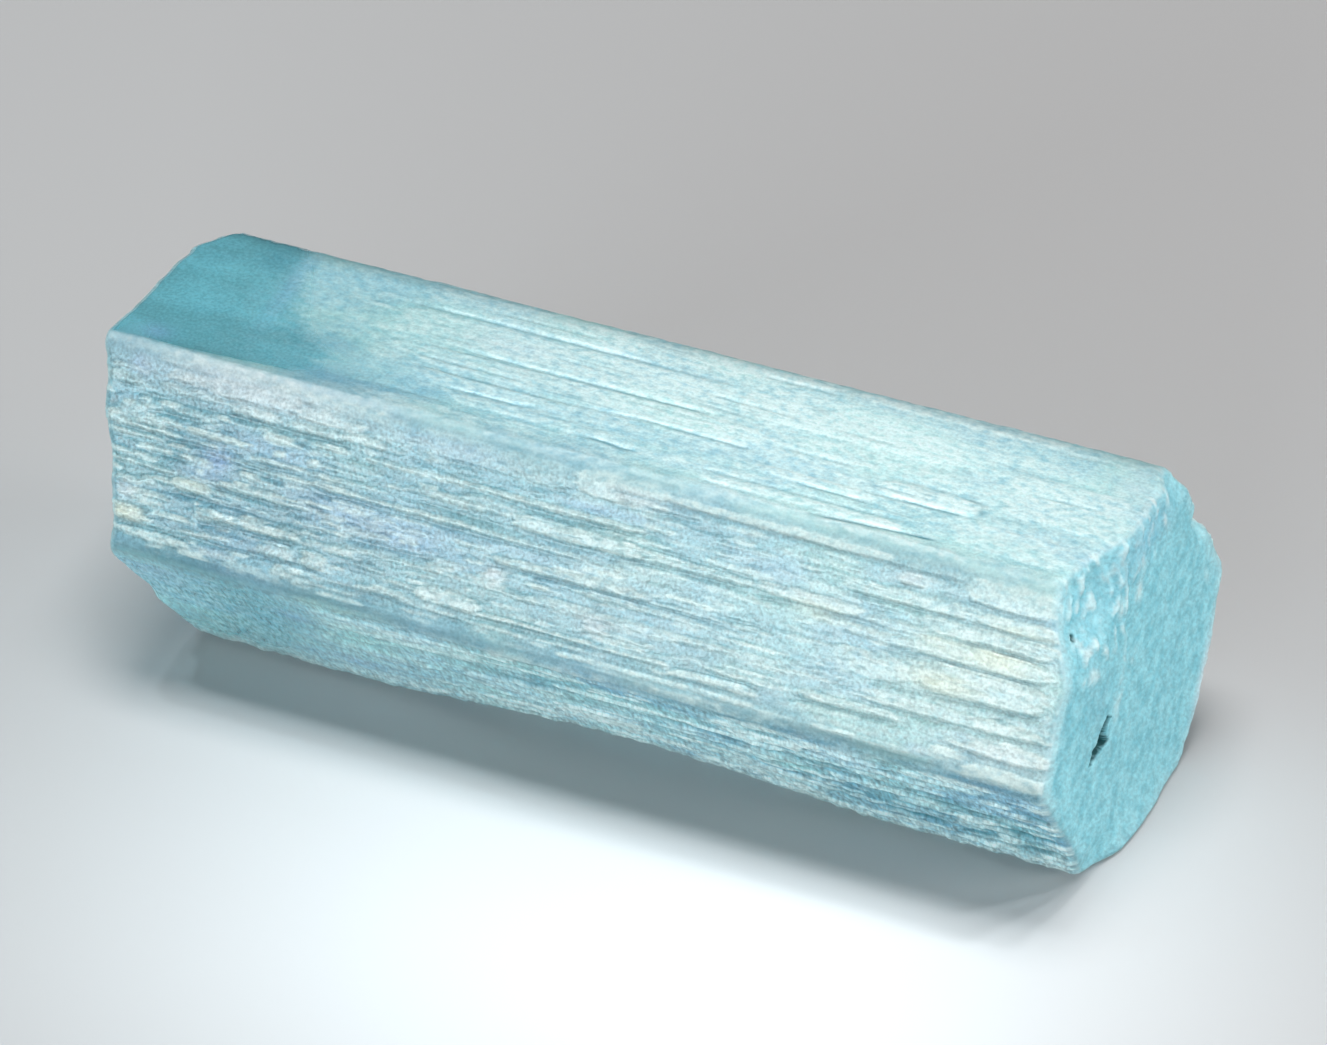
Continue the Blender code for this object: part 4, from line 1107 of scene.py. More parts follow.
@dataclass
class Crystal:
    """The whole crystal, grown as one piece."""

    section: Section
    ends: dict[End, BrokenEnd]
    skins: tuple[SideSkin, ...]
    stations: int = 200
    lengths: int = 4
    crowding: float = 1.2
    half_length: float = 25.0
    corner_segments: int = 4
    fine_to_coarse: int = 4
    rim_scales: tuple[float, ...] = (0.988, 0.972, 0.952)
    inner_scale: float = 0.915
    inner_rings: int = 22
    middle: tuple[float, float] = (-0.554, -0.018)
    sharp_angle: float = math.radians(75.0)

    def build(self) -> bpy.types.Object:
        """Make the crystal's mesh.

        Returns:
            The finished object, in metres in the part's own frame.
        """
        crystal = self.plain_prism()
        side_points = len(crystal.data.vertices)
        self.close_ends()
        self.refine_holes()
        self.shape(crystal, side_points)
        self.finish_mesh(crystal)
        return crystal

    def plain_prism(self) -> bpy.types.Object:
        """An open six-sided prism about the X axis, cut into a fine grid."""
        bpy.ops.object.select_all(action="DESELECT")
        bpy.ops.mesh.primitive_cylinder_add(
            vertices=6,
            radius=self.section.circumradius,
            depth=2 * self.half_length,
            end_fill_type="NOTHING",
            rotation=(0.0, math.pi / 2, 0.0),
        )
        crystal = bpy.context.active_object
        crystal.name = "crystal"
        crystal.data.name = "crystal"
        bpy.ops.object.transform_apply(location=False, rotation=True, scale=False)
        edit_mode()
        self.select_edges(crystal, lambda a, b: abs(a.x - b.x) > self.half_length)
        bpy.ops.mesh.bevel(
            offset=self.section.edge_wear, segments=self.corner_segments, affect="EDGES", clamp_overlap=False
        )
        for skin in self.skins:
            facing = self.section.outward(skin.side.value)
            reach = self.section.apothem * 0.98
            self.select_edges(
                crystal,
                lambda a, b, facing=facing, reach=reach: abs(a.x - b.x) < 1.0
                and (a - b).length > self.section.circumradius / 2
                and ((a + b) / 2).yz.dot(Vector(facing)) > reach,
            )
            bpy.ops.mesh.subdivide(number_cuts=skin.cuts_across)
        self.select_edges(crystal, lambda a, b: abs(a.x - b.x) > self.half_length)
        bpy.ops.mesh.subdivide(number_cuts=self.lengths - 1)
        self.select_edges(crystal, lambda a, b: abs(a.x - b.x) > self.half_length / self.lengths)
        bpy.ops.mesh.subdivide(number_cuts=self.stations // self.lengths - 1)
        object_mode()
        return crystal

    @staticmethod
    def select_edges(crystal: bpy.types.Object, wanted) -> None:
        """Select the edges whose two ends pass a test, in edit mode.

        Args:
            crystal: The object being edited.
            wanted: A test of an edge's two end points.
        """
        object_mode()
        mesh = crystal.data
        for edge in mesh.edges:
            a, b = (mesh.vertices[index].co for index in edge.vertices)
            edge.select = wanted(a, b)
        for face in mesh.polygons:
            face.select = False
        for vertex in mesh.vertices:
            vertex.select = False
        for edge in mesh.edges:
            if edge.select:
                for index in edge.vertices:
                    mesh.vertices[index].select = True
        bpy.ops.object.mode_set(mode="EDIT")
        bpy.ops.mesh.select_mode(type="EDGE")

    def close_ends(self) -> None:
        """Close both ends with rings that grow coarser inwards."""
        crystal = bpy.context.active_object
        for end in End:
            plane = end.value * self.half_length
            edit_mode()
            self.select_edges(
                crystal, lambda a, b, plane=plane: abs(a.x - plane) < MM and abs(b.x - plane) < MM
            )
            size = 1.0
            for scale in self.rim_scales:
                bpy.ops.mesh.extrude_edges_move()
                self.shrink(scale / size, plane)
                size = scale
            object_mode()
            rim = {v.index for v in crystal.data.vertices if v.select}
            edit_mode()
            bpy.ops.mesh.primitive_circle_add(
                vertices=6,
                radius=self.section.circumradius * self.inner_scale,
                fill_type="NOTHING",
                location=(plane, 0.0, 0.0),
                rotation=(0.0, math.pi / 2, 0.0),
            )
            ring = self.coarse_ring(crystal, plane)
            for index in rim | ring:
                crystal.data.vertices[index].select = True
            edges = crystal.data.edges
            for edge in edges:
                a, b = edge.vertices
                both = crystal.data.vertices[a].select and crystal.data.vertices[b].select
                edge.select = both
            bpy.ops.object.mode_set(mode="EDIT")
            bpy.ops.mesh.bridge_edge_loops()
            self.select_ring(crystal, plane, self.inner_scale)
            size = self.inner_scale
            for ring in range(1, self.inner_rings):
                scale = self.inner_scale * (1.0 - ring / self.inner_rings)
                bpy.ops.mesh.extrude_edges_move()
                self.shrink(scale / size, plane)
                size = scale
            bpy.ops.mesh.edge_face_add()
            bpy.ops.mesh.select_mode(type="FACE")
            bpy.ops.mesh.poke()
            object_mode()

    def coarse_ring(self, crystal: bpy.types.Object, plane: float) -> set[int]:
        """Divide a new six-sided ring so that one of its edges meets every few fine ones.

        Args:
            crystal: The object being edited, with the new ring selected.
            plane: X of the end.

        Returns:
            The ring's points.
        """
        corners = (self.section.circumradius * self.inner_scale, self.section.apothem * self.inner_scale)
        for skin in self.skins:
            facing = Vector(self.section.outward(skin.side.value))
            self.select_edges(
                crystal,
                lambda a, b, facing=facing: abs(a.x - plane) < MM
                and abs(b.x - plane) < MM
                and abs((a - b).length - corners[0]) < 0.01
                and abs(((a + b) / 2).yz.dot(facing) - corners[1]) < 0.01,
            )
            fine = skin.cuts_across + 1 + self.corner_segments
            bpy.ops.mesh.subdivide(number_cuts=fine // self.fine_to_coarse - 1)
        self.select_ring(crystal, plane, self.inner_scale)
        object_mode()
        return {vertex.index for vertex in crystal.data.vertices if vertex.select}

    def select_ring(self, crystal: bpy.types.Object, plane: float, scale: float) -> None:
        """Select the coarse ring of an end.

        Args:
            crystal: The object being edited.
            plane: X of the end.
            scale: The ring's size about the axis.
        """
        reach = self.section.apothem * scale

        def on_ring(point: Vector) -> bool:
            """True for a point of the ring."""
            turned = math.radians(60.0) * round(math.degrees(math.atan2(point.z, point.y) - math.pi / 6) / 60.0)
            facing = Vector((math.cos(turned + math.pi / 6), math.sin(turned + math.pi / 6)))
            return abs(point.x - plane) < MM and abs(point.yz.dot(facing) - reach) < 0.01

        self.select_edges(crystal, lambda a, b: on_ring(a) and on_ring(b))

    @staticmethod
    def shrink(scale: float, plane: float) -> None:
        """Scale the selection about the axis in one end's plane."""
        bpy.ops.transform.resize(value=(1.0, scale, scale), center_override=(plane, 0.0, 0.0))

    def refine_holes(self) -> None:
        """Cut the faces round the crack, the pits and the rough patch finer."""
        crystal = bpy.context.active_object
        right = self.ends[End.RIGHT]
        centre = self.section.apothem
        zones = [(-0.5 + 0.0, 15.0, 3.6, 1)]
        zones.append((-3.7, 7.6, 1.7, 3))
        zones += [(pit.y, pit.z, pit.reach * 3.0, 3) for pit in right.pits]
        for y, z, reach, cuts in zones:
            mesh = crystal.data
            for vertex in mesh.vertices:
                vertex.select = False
            for edge in mesh.edges:
                edge.select = False
            for face in mesh.polygons:
                middle = face.center
                away = math.hypot(middle.y - y, middle.z + centre - z)
                face.select = middle.x > self.half_length - MM and away < reach
            bpy.ops.object.mode_set(mode="EDIT")
            bpy.ops.mesh.select_mode(type="FACE")
            bpy.ops.mesh.subdivide(number_cuts=cuts)
            object_mode()

    def places(self, points: np.ndarray) -> tuple[np.ndarray, np.ndarray, np.ndarray]:
        """Where points of the plain prism lie round the section.

        Args:
            points: Rows of (X, Y, Z).

        Returns:
            The side number, the share across the side, and the distance from the axis as a
            share of the sharp hexagon's.
        """
        angle = np.degrees(np.arctan2(points[:, 2], points[:, 1]))
        turn = (angle - 60.0) % 360.0
        side = np.minimum((turn // 60.0).astype(int), 5)
        lean = np.radians(turn - 60.0 * side - 30.0)
        share = np.clip(0.5 + np.tan(lean) / (2.0 * math.tan(math.pi / 6)), 0.0, 1.0)
        radius = np.hypot(points[:, 1], points[:, 2]) * np.cos(lean) / self.section.apothem
        return side, share, radius

    def wear(self, side: int, share: np.ndarray, x: np.ndarray) -> np.ndarray:
        """How far the worn long edges stand back from the sharp hexagon, in mm."""
        off = np.minimum(share, 1.0 - share) * self.section.side_width
        reach = np.full_like(x, self.section.edge_wear)
        soft = (side + (share > 0.5)) % 6 == self.section.soft_edge
        reach[soft] = np.interp(x[soft], *zip(*self.section.soft_reach))
        return 0.268 * reach * np.clip(1.0 - off / reach, 0.0, 1.0) ** 2

    def rim_x(self, end: BrokenEnd, side: np.ndarray, share: np.ndarray) -> np.ndarray:
        """X where the sides stop and an end starts to round."""
        x = np.full(len(share), end.middle)
        y = np.zeros_like(x)
        z = np.zeros_like(x)
        for number in range(6):
            here = side == number
            yz = self.section.point(number, share[here], x[here])
            y[here], z[here] = yz[:, 0], yz[:, 1]
        back = end.rim_round + end.set_back(side + share, self.section.side_width)
        return end.x_at(y, z, self.section.apothem) - end.end.value * back

    def shape(self, crystal: bpy.types.Object, side_points: int) -> None:
        """Move the plain prism's points onto the crystal's surface and store the masks.

        Args:
            crystal: The object to shape.
            side_points: How many of its points belong to the sides.
        """
        mesh = crystal.data
        plain = np.empty(len(mesh.vertices) * 3)
        mesh.vertices.foreach_get("co", plain)
        plain = plain.reshape(-1, 3)
        side, share, radius = self.places(plain)
        final = np.zeros_like(plain)
        masks = {mask: np.zeros(len(plain)) for mask in Mask}
        self.shape_sides(plain[:side_points], side[:side_points], share[:side_points], final, masks)
        for end in End:
            there = np.arange(len(plain)) >= side_points
            there &= plain[:, 0] * end.value > 0.0
            rim = (np.arange(len(plain)) < side_points) & (plain[:, 0] * end.value > self.half_length - MM)
            self.shape_end(self.ends[end], side + share, radius, rim, there, final, masks)
        final[:, 0] -= self.middle[0]
        final[:, 1] -= self.middle[1]
        final *= MM
        mesh.vertices.foreach_set("co", final.ravel())
        for mask, values in masks.items():
            layer = mesh.attributes.new(mask.value, "FLOAT", "POINT")
            layer.data.foreach_set("value", np.clip(values, 0.0, 1.0).astype(np.float32))
        mesh.update()

    def shape_sides(
        self,
        plain: np.ndarray,
        side: np.ndarray,
        share: np.ndarray,
        final: np.ndarray,
        masks: dict[Mask, np.ndarray],
    ) -> None:
        """Lay the points of the six sides onto their beds and raise the laths.

        Args:
            plain: The sides' points on the plain prism.
            side: Side number of each.
            share: Share across the side of each.
            final: Where to write the places.
            masks: Where to write the masks.
        """
        left = self.rim_x(self.ends[End.LEFT], side, share)
        right = self.rim_x(self.ends[End.RIGHT], side, share)
        along = np.clip((plain[:, 0] + self.half_length) / (2 * self.half_length), 0.0, 1.0)
        x = left + (right - left) * along**self.crowding
        width = self.section.side_width
        for skin in self.skins:
            number = skin.side.value
            here = np.nonzero(side == number)[0]
            yz = self.section.point(number, share[here], x[here])
            relief, found = skin.dress(x[here], share[here], width)
            off = np.minimum(share[here], 1.0 - share[here]) * width
            relief = relief * smoothstep(-0.05, 0.16, off) + self.section.lath_bed * 1.2
            edge = np.exp(-((off / self.section.chip_reach) ** 2))
            lane = x[here] * 0.0 + number + (share[here] > 0.5)
            chipped = ripple(x[here], lane, 0.9, 1.0, 83.0) + 0.7 * ripple(x[here], lane, 0.35, 1.0, 87.0)
            relief = relief + self.section.chip_rise * np.minimum(chipped, 0.3) * edge
            # The worn band along the long edges: rougher, and darkened by painted shade.
            found[Mask.WORN_AND_SHADED] = np.exp(-((off / self.section.worn_and_shaded_reach) ** 2))
            # Painted shade on the worn band: the side's painted light eased to a darker value there.
            found[Mask.SIDE_LIGHT_AND_SHADE] += (0.80 - found[Mask.SIDE_LIGHT_AND_SHADE]) * found[Mask.WORN_AND_SHADED]
            # Less painted highlight where the edge is chipped.
            found[Mask.CREST_HIGHLIGHT] = found[Mask.CREST_HIGHLIGHT] * (1.0 - 0.5 * edge * (chipped < 0.1))
            if skin.side is Side.LOWER_BACK:
                swell = smoothstep(8.0, 23.0, x[here]) * np.sin(np.pi * share[here])
                relief = relief + self.section.back_swell * swell
            if skin.side is Side.UNDERSIDE:
                relief = np.minimum(relief, self.section.lath_bed)
            facing = self.section.outward(number)
            yz = yz + facing * relief[:, None]
            toward = np.stack([-yz[:, 0], self.section.apothem - yz[:, 1]], axis=1)
            toward /= np.linalg.norm(toward, axis=1)[:, None]
            yz = yz + toward * self.wear(number, share[here], x[here])[:, None]
            final[here, 0] = x[here]
            final[here, 1:] = yz
            for mask, values in found.items():
                masks[mask][here] = values

    def shape_end(
        self,
        end: BrokenEnd,
        place: np.ndarray,
        radius: np.ndarray,
        rim: np.ndarray,
        there: np.ndarray,
        final: np.ndarray,
        masks: dict[Mask, np.ndarray],
    ) -> None:
        """Lay the points of one end onto its broken surface.

        Args:
            end: The end's form.
            place: Place round the section (0 to 6) of every point.
            radius: Distance of every point from the axis, as a share of the hexagon's.
            rim: Which points are on the rim that the sides end at.
            there: Which points belong to this end.
            final: Where to read the rim and write the places.
            masks: Where to write the masks.
        """
        order = np.nonzero(rim)[0][np.argsort(place[rim])]
        rim_place = place[order]
        centre = np.array([0.0, self.section.apothem])
        spot = place[there]
        yz = np.stack(
            [np.interp(spot, rim_place, final[order, axis], period=6.0) for axis in (1, 2)], axis=1
        )
        scale = radius[there] / np.interp(spot, rim_place, radius[order], period=6.0)
        yz = centre + (yz - centre) * scale[:, None]
        climb = np.clip((scale - self.rim_scales[-1]) / (1.0 - self.rim_scales[-1]), 0.0, 1.0)
        x = end.x_at(yz[:, 0], yz[:, 1], self.section.apothem)
        x -= end.end.value * end.rim_round * (1.0 - np.sqrt(1.0 - climb**2))
        nearby = smoothstep(0.55, 1.0, scale)
        x -= end.end.value * end.set_back(spot, self.section.side_width) * nearby**3
        rough = end.grain(yz[:, 0], yz[:, 1])
        x += end.end.value * (rough * (1.0 - climb) - end.holes(yz[:, 0], yz[:, 1]))
        final[there, 0] = x
        final[there, 1:] = yz
        inner = smoothstep(0.0, 0.6, 1.0 - climb)
        masks[Mask.BROKEN][there] = inner
        masks[Mask.FROST][there] = 0.9
        masks[Mask.LINES][there] = 0.35
        masks[Mask.SPECKLE][there] = 0.34
        # Painted light and shade of the end: a little darker all over.
        masks[Mask.SIDE_LIGHT_AND_SHADE][there] = 0.91
        masks[Mask.CHIPS][there] = 0.0
        masks[Mask.MILK][there] = 0.8
        # Painted shade in the crack and the pits.
        hole_shade = smoothstep(0.0, 0.12, end.holes(yz[:, 0], yz[:, 1]))
        masks[Mask.GROOVE_SHADE][there] = hole_shade
        # The sides' painted highlight and colours carried over the rim, plus the end's own patches.
        for mask in (Mask.CREST_HIGHLIGHT, Mask.DEEP, Mask.LILAC, Mask.ROSE):
            rim_mask = np.interp(spot, rim_place, masks[mask][order], period=6.0)
            masks[mask][there] = rim_mask * (1.0 - inner) + end.patch_strength(mask, yz[:, 0], yz[:, 1])
        round_places, rim_highlight_amount = zip(*end.rim_highlight)
        # The rounded rim is rougher, and darkened by painted shade.
        masks[Mask.WORN_AND_SHADED][there] = smoothstep(0.0, 0.5, climb)
        band = smoothstep(0.88, 0.97, scale + 0.02 * ripple(yz[:, 0], yz[:, 1], 0.5, 0.5, 77.0))
        # Painted highlight in a band along the rim and on the high points of the chipped patches.
        masks[Mask.CREST_HIGHLIGHT][there] += np.interp(spot, round_places, rim_highlight_amount) * band + self.highlight_flecks(end, yz)

    @staticmethod
    def highlight_flecks(end: BrokenEnd, yz: np.ndarray) -> np.ndarray:
        """Painted highlights on the high points of an end's chipped patches."""
        found = np.zeros(len(yz))
        for patch in end.rough:
            away = np.hypot(yz[:, 0] - patch.y, yz[:, 1] - patch.z) / patch.reach
            inside = smoothstep(0.0, 0.5, 1.0 - away)
            found += inside * smoothstep(0.1, 0.9, end.rubble(yz[:, 0], yz[:, 1]))
        return found * 0.8

    def finish_mesh(self, crystal: bpy.types.Object) -> None:
        """Point the faces outwards and smooth all but the sharp edges."""
        edit_mode()
        bpy.ops.mesh.select_all(action="SELECT")
        bpy.ops.mesh.normals_make_consistent(inside=False)
        bpy.ops.mesh.quads_convert_to_tris(quad_method="BEAUTY", ngon_method="BEAUTY")
        object_mode()
        bpy.ops.object.shade_smooth_by_angle(angle=self.sharp_angle)


# --------------------------------------------------------------------------------------
# The stone
# --------------------------------------------------------------------------------------

Colour = tuple[float, float, float]


@dataclass(frozen=True)
class Beryl:
    """Aquamarine: see-through, faintly milky beryl whose colours follow the masks."""

    clear: Colour = (0.17, 0.49, 0.56)
    milky_dark: Colour = (0.27, 0.57, 0.64)
    milky_light: Colour = (0.62, 0.86, 0.85)
    # Colour of painted highlight on lath flats and crests.
    highlight_silver: Colour = (0.86, 0.99, 0.96)
    # Colour of painted shade in grooves and under laths.
    groove_shade: Colour = (0.06, 0.23, 0.28)
    mint: Colour = (0.52, 0.86, 0.74)
    deep: Colour = (0.085, 0.32, 0.42)
    aqua: Colour = (0.155, 0.52, 0.61)
    aqua_light: Colour = (0.31, 0.71, 0.785)
    # Colour of painted shade in the crack and the pits.
    hollow_shade: Colour = (0.01, 0.11, 0.12)
    rose: Colour = (0.99, 0.92, 0.98)
    straw: Colour = (1.0, 0.97, 0.72)
    lilac: Colour = (0.34, 0.48, 0.82)
    absorption: Colour = (0.45, 0.86, 0.92)
    absorption_density: float = 45.0
    ior: float = 1.577
    transmission: float = 0.5
    smooth: float = 0.16
    frosted: float = 0.42
    broken: float = 0.58
    # Roughness of the worn band.
    worn_and_shaded: float = 0.75
    bump_height: float = 0.05

    def material(self) -> bpy.types.Material:
        """Build the stone's nodes.

        Returns:
            The material.
        """
        material = bpy.data.materials.new("aquamarine_stone")
        material.use_nodes = True
        tree = material.node_tree
        shader = tree.nodes["Principled BSDF"]
        shader.inputs["IOR"].default_value = self.ior
        shader.inputs["Transmission Weight"].default_value = self.transmission
        output = tree.nodes["Material Output"]
        body = tree.nodes.new("ShaderNodeVolumeAbsorption")
        body.inputs["Color"].default_value = (*self.absorption, 1.0)
        body.inputs["Density"].default_value = self.absorption_density
        tree.links.new(body.outputs["Volume"], output.inputs["Volume"])
        bench = NodeBench(tree)
        place = tree.nodes.new("ShaderNodeTexCoord").outputs["Object"]
        lines = bench.group(striation_group(), place)
        grain = bench.group(grain_group(), place)
        crumble = bench.group(crumble_group(), place)
        masks = {mask: bench.mask(mask) for mask in Mask}
        frost, broken = masks[Mask.FROST], masks[Mask.BROKEN]
        milky = bench.mix(crumble["Blobs"], self.milky_dark, self.milky_light)
        colour = bench.mix(masks[Mask.MILK], bench.tone(self.clear, crumble["Drift"], 0.8, 1.2), milky)
        lilac = bench.maximum(masks[Mask.LILAC], bench.multiply(crumble["Drift"], bench.scaled(frost, 0.35)))
        colour = bench.mix(bench.scaled(masks[Mask.DEEP], 0.95), colour, self.deep)
        colour = bench.mix(bench.scaled(lilac, 0.75), colour, self.lilac)
        colour = bench.mix(bench.multiply(crumble["Mint"], bench.scaled(masks[Mask.MILK], 0.4)), colour, self.mint)
        # Painted highlight: lath flats and the crests of the fine lines whitened towards the highlight colour.
        crest_highlight = bench.multiply(masks[Mask.CREST_HIGHLIGHT], bench.remap(crumble["Blobs"], 0.0, 1.0, 0.4, 1.4))
        highlight_silver = bench.maximum(crest_highlight, bench.multiply(lines["CrestHighlights"], masks[Mask.LINES]))
        colour = bench.mix(highlight_silver, colour, self.highlight_silver)
        colour = bench.mix(bench.scaled(masks[Mask.ROSE], 0.7), colour, self.rose)
        colour = bench.mix(bench.scaled(masks[Mask.STRAW], 0.75), colour, self.straw)
        # Painted shade in grooves, under and round laths, and in the grooves of the fine lines.
        painted_shade = bench.maximum(masks[Mask.GROOVE_SHADE], bench.multiply(lines["GrooveShade"], masks[Mask.LINES]))
        painted_shade = bench.multiply(painted_shade, bench.add(bench.scaled(painted_shade, 0.58), 0.32))
        colour = bench.mix(painted_shade, colour, self.groove_shade)
        end_colour = bench.mix(grain["Mottle"], self.aqua, self.aqua_light)
        # Painted highlight on the end.
        end_colour = bench.mix(bench.scaled(masks[Mask.CREST_HIGHLIGHT], 0.8), end_colour, self.highlight_silver)
        end_colour = bench.mix(bench.scaled(masks[Mask.DEEP], 0.7), end_colour, self.deep)
        end_colour = bench.mix(bench.scaled(masks[Mask.LILAC], 0.4), end_colour, self.lilac)
        end_colour = bench.mix(bench.scaled(masks[Mask.ROSE], 0.6), end_colour, self.rose)
        colour = bench.mix(broken, colour, end_colour)
        # Painted shade in the end's crack and pits.
        colour = bench.mix(bench.multiply(masks[Mask.GROOVE_SHADE], broken), colour, self.hollow_shade)
        speckle = bench.number_mix(masks[Mask.CHIPS], grain["Speckle"], grain["Chips"])
        speckle = bench.number_mix(broken, speckle, grain["Break"])
        # The colour scaled by each side's painted light and shade, with grain on top.
        colour = bench.grainy(colour, speckle, masks[Mask.SPECKLE], masks[Mask.SIDE_LIGHT_AND_SHADE])
        # Painted shade along the worn edges and the rim.
        colour = bench.tone(colour, masks[Mask.WORN_AND_SHADED], 1.0, 0.86)
        tree.links.new(colour, shader.inputs["Base Color"])
        rough = bench.number_mix(frost, self.smooth, self.frosted)
        rough = bench.number_mix(broken, rough, self.broken)
        rough = bench.number_mix(bench.multiply(masks[Mask.WORN_AND_SHADED], frost), rough, self.worn_and_shaded)
        tree.links.new(rough, shader.inputs["Roughness"])
        textured = bench.add(bench.scaled(lines["Height"], 0.8), bench.scaled(crumble["Blobs"], 0.35))
        sanded = bench.multiply(grain["Height"], bench.remap(frost, 0.0, 0.8, 0.1, 0.7))
        height = bench.add(bench.multiply(textured, masks[Mask.LINES]), sanded)
        bump = tree.nodes.new("ShaderNodeBump")
        bump.inputs["Strength"].default_value = 0.7
        bump.inputs["Distance"].default_value = self.bump_height * MM
        tree.links.new(height, bump.inputs["Height"])
        tree.links.new(bump.outputs["Normal"], shader.inputs["Normal"])
        return material


class NodeBench:
    """Adds shader nodes to one tree and links them."""

    def __init__(self, tree: bpy.types.NodeTree) -> None:
        """Work on a tree."""
        self.tree = tree

    def feed(self, socket: bpy.types.NodeSocket, value) -> None:
        """Link a socket, or set it to a plain number or colour."""
        if isinstance(value, bpy.types.NodeSocket):
            self.tree.links.new(value, socket)
        elif isinstance(value, tuple):
            socket.default_value = (*value, 1.0)[: len(socket.default_value)]
        else:
            socket.default_value = value

    def mask(self, mask: Mask) -> bpy.types.NodeSocket:
        """One stored mask of the surface."""
        node = self.tree.nodes.new("ShaderNodeAttribute")
        node.attribute_name = mask.value
        return node.outputs["Fac"]

    def group(self, made: bpy.types.NodeTree, place: bpy.types.NodeSocket) -> dict[str, bpy.types.NodeSocket]:
        """Place a node group and return its outputs by name."""
        node = self.tree.nodes.new("ShaderNodeGroup")
        node.node_tree = made
        self.tree.links.new(place, node.inputs["Place"])
        return {socket.name: socket for socket in node.outputs}

    def mix(self, factor, first, second) -> bpy.types.NodeSocket:
        """Mix two colours."""
        node = self.tree.nodes.new("ShaderNodeMix")
        node.data_type = "RGBA"
        self.feed(node.inputs[0], factor)
        self.feed(node.inputs[6], first)
        self.feed(node.inputs[7], second)
        return node.outputs[2]

    def number_mix(self, factor, first, second) -> bpy.types.NodeSocket:
        """Mix two numbers."""
        node = self.tree.nodes.new("ShaderNodeMix")
        node.data_type = "FLOAT"
        self.feed(node.inputs[0], factor)
        self.feed(node.inputs[2], first)
        self.feed(node.inputs[3], second)
        return node.outputs[0]

    def math(self, operation: str, first, second) -> bpy.types.NodeSocket:
        """One arithmetic step."""
        node = self.tree.nodes.new("ShaderNodeMath")
        node.operation = operation
        self.feed(node.inputs[0], first)
        self.feed(node.inputs[1], second)
        return node.outputs[0]

    def multiply(self, first, second) -> bpy.types.NodeSocket:
        """Product of two values."""
        return self.math("MULTIPLY", first, second)

    def scaled(self, value, by: float) -> bpy.types.NodeSocket:
        """A value times a number."""
        return self.math("MULTIPLY", value, by)

    def maximum(self, first, second) -> bpy.types.NodeSocket:
        """The larger of two values."""
        return self.math("MAXIMUM", first, second)

    def add(self, first, second) -> bpy.types.NodeSocket:
        """Sum of two values."""
        return self.math("ADD", first, second)

    def remap(self, value, low: float, high: float, to_low: float, to_high: float) -> bpy.types.NodeSocket:
        """Map a range of values to another, clamped."""
        node = self.tree.nodes.new("ShaderNodeMapRange")
        self.feed(node.inputs["Value"], value)
        for name, number in zip(("From Min", "From Max", "To Min", "To Max"), (low, high, to_low, to_high)):
            node.inputs[name].default_value = number
        return node.outputs["Result"]

    def tone(self, colour, value, low: float, high: float) -> bpy.types.NodeSocket:
        """Make a colour lighter and darker by a value of 0 to 1."""
        node = self.tree.nodes.new("ShaderNodeVectorMath")
        node.operation = "SCALE"
        self.feed(node.inputs[0], colour)
        self.feed(node.inputs["Scale"], self.remap(value, 0.0, 1.0, low, high))
        return node.outputs[0]

    def grainy(self, colour, value, amount, base) -> bpy.types.NodeSocket:
        """Scale a colour by a base, give or take an amount times a value of 0 to 1 less its middle."""
        away = self.multiply(self.math("SUBTRACT", value, 0.5), amount)
        node = self.tree.nodes.new("ShaderNodeVectorMath")
        node.operation = "SCALE"
        self.feed(node.inputs[0], colour)
        self.feed(node.inputs["Scale"], self.add(away, base))
        return node.outputs[0]

    def noise(
        self, place, scale: tuple[float, float, float], detail: float, turn: float = 0.0
    ) -> bpy.types.NodeSocket:
        """Noise with its own number of ripples per metre along X, Y and Z, turned about X."""
        if turn:
            turned = self.tree.nodes.new("ShaderNodeMapping")
            turned.inputs["Rotation"].default_value = (math.radians(turn), 0.0, 0.0)
            self.feed(turned.inputs["Vector"], place)
            place = turned.outputs["Vector"]
        mapping = self.tree.nodes.new("ShaderNodeMapping")
        mapping.inputs["Scale"].default_value = scale
        self.feed(mapping.inputs["Vector"], place)
        node = self.tree.nodes.new("ShaderNodeTexNoise")
        node.inputs["Scale"].default_value = 1.0
        node.inputs["Detail"].default_value = detail
        self.feed(node.inputs["Vector"], mapping.outputs["Vector"])
        return node.outputs["Fac"]


def new_group(name: str, outputs: tuple[str, ...]) -> tuple[NodeBench, bpy.types.NodeSocket, dict]:
    """Start a shader node group that reads one place and puts out numbers.

    Args:
        name: The group's name.
        outputs: Names of its outputs.

    Returns:
        A bench on the group, its place input, and its output sockets by name.
    """
    tree = bpy.data.node_groups.new(name, "ShaderNodeTree")
    tree.interface.new_socket("Place", in_out="INPUT", socket_type="NodeSocketVector")
    for output in outputs:
        tree.interface.new_socket(output, in_out="OUTPUT", socket_type="NodeSocketFloat")
    place = tree.nodes.new("NodeGroupInput").outputs["Place"]
    sink = tree.nodes.new("NodeGroupOutput")
    return NodeBench(tree), place, {output: sink.inputs[output] for output in outputs}


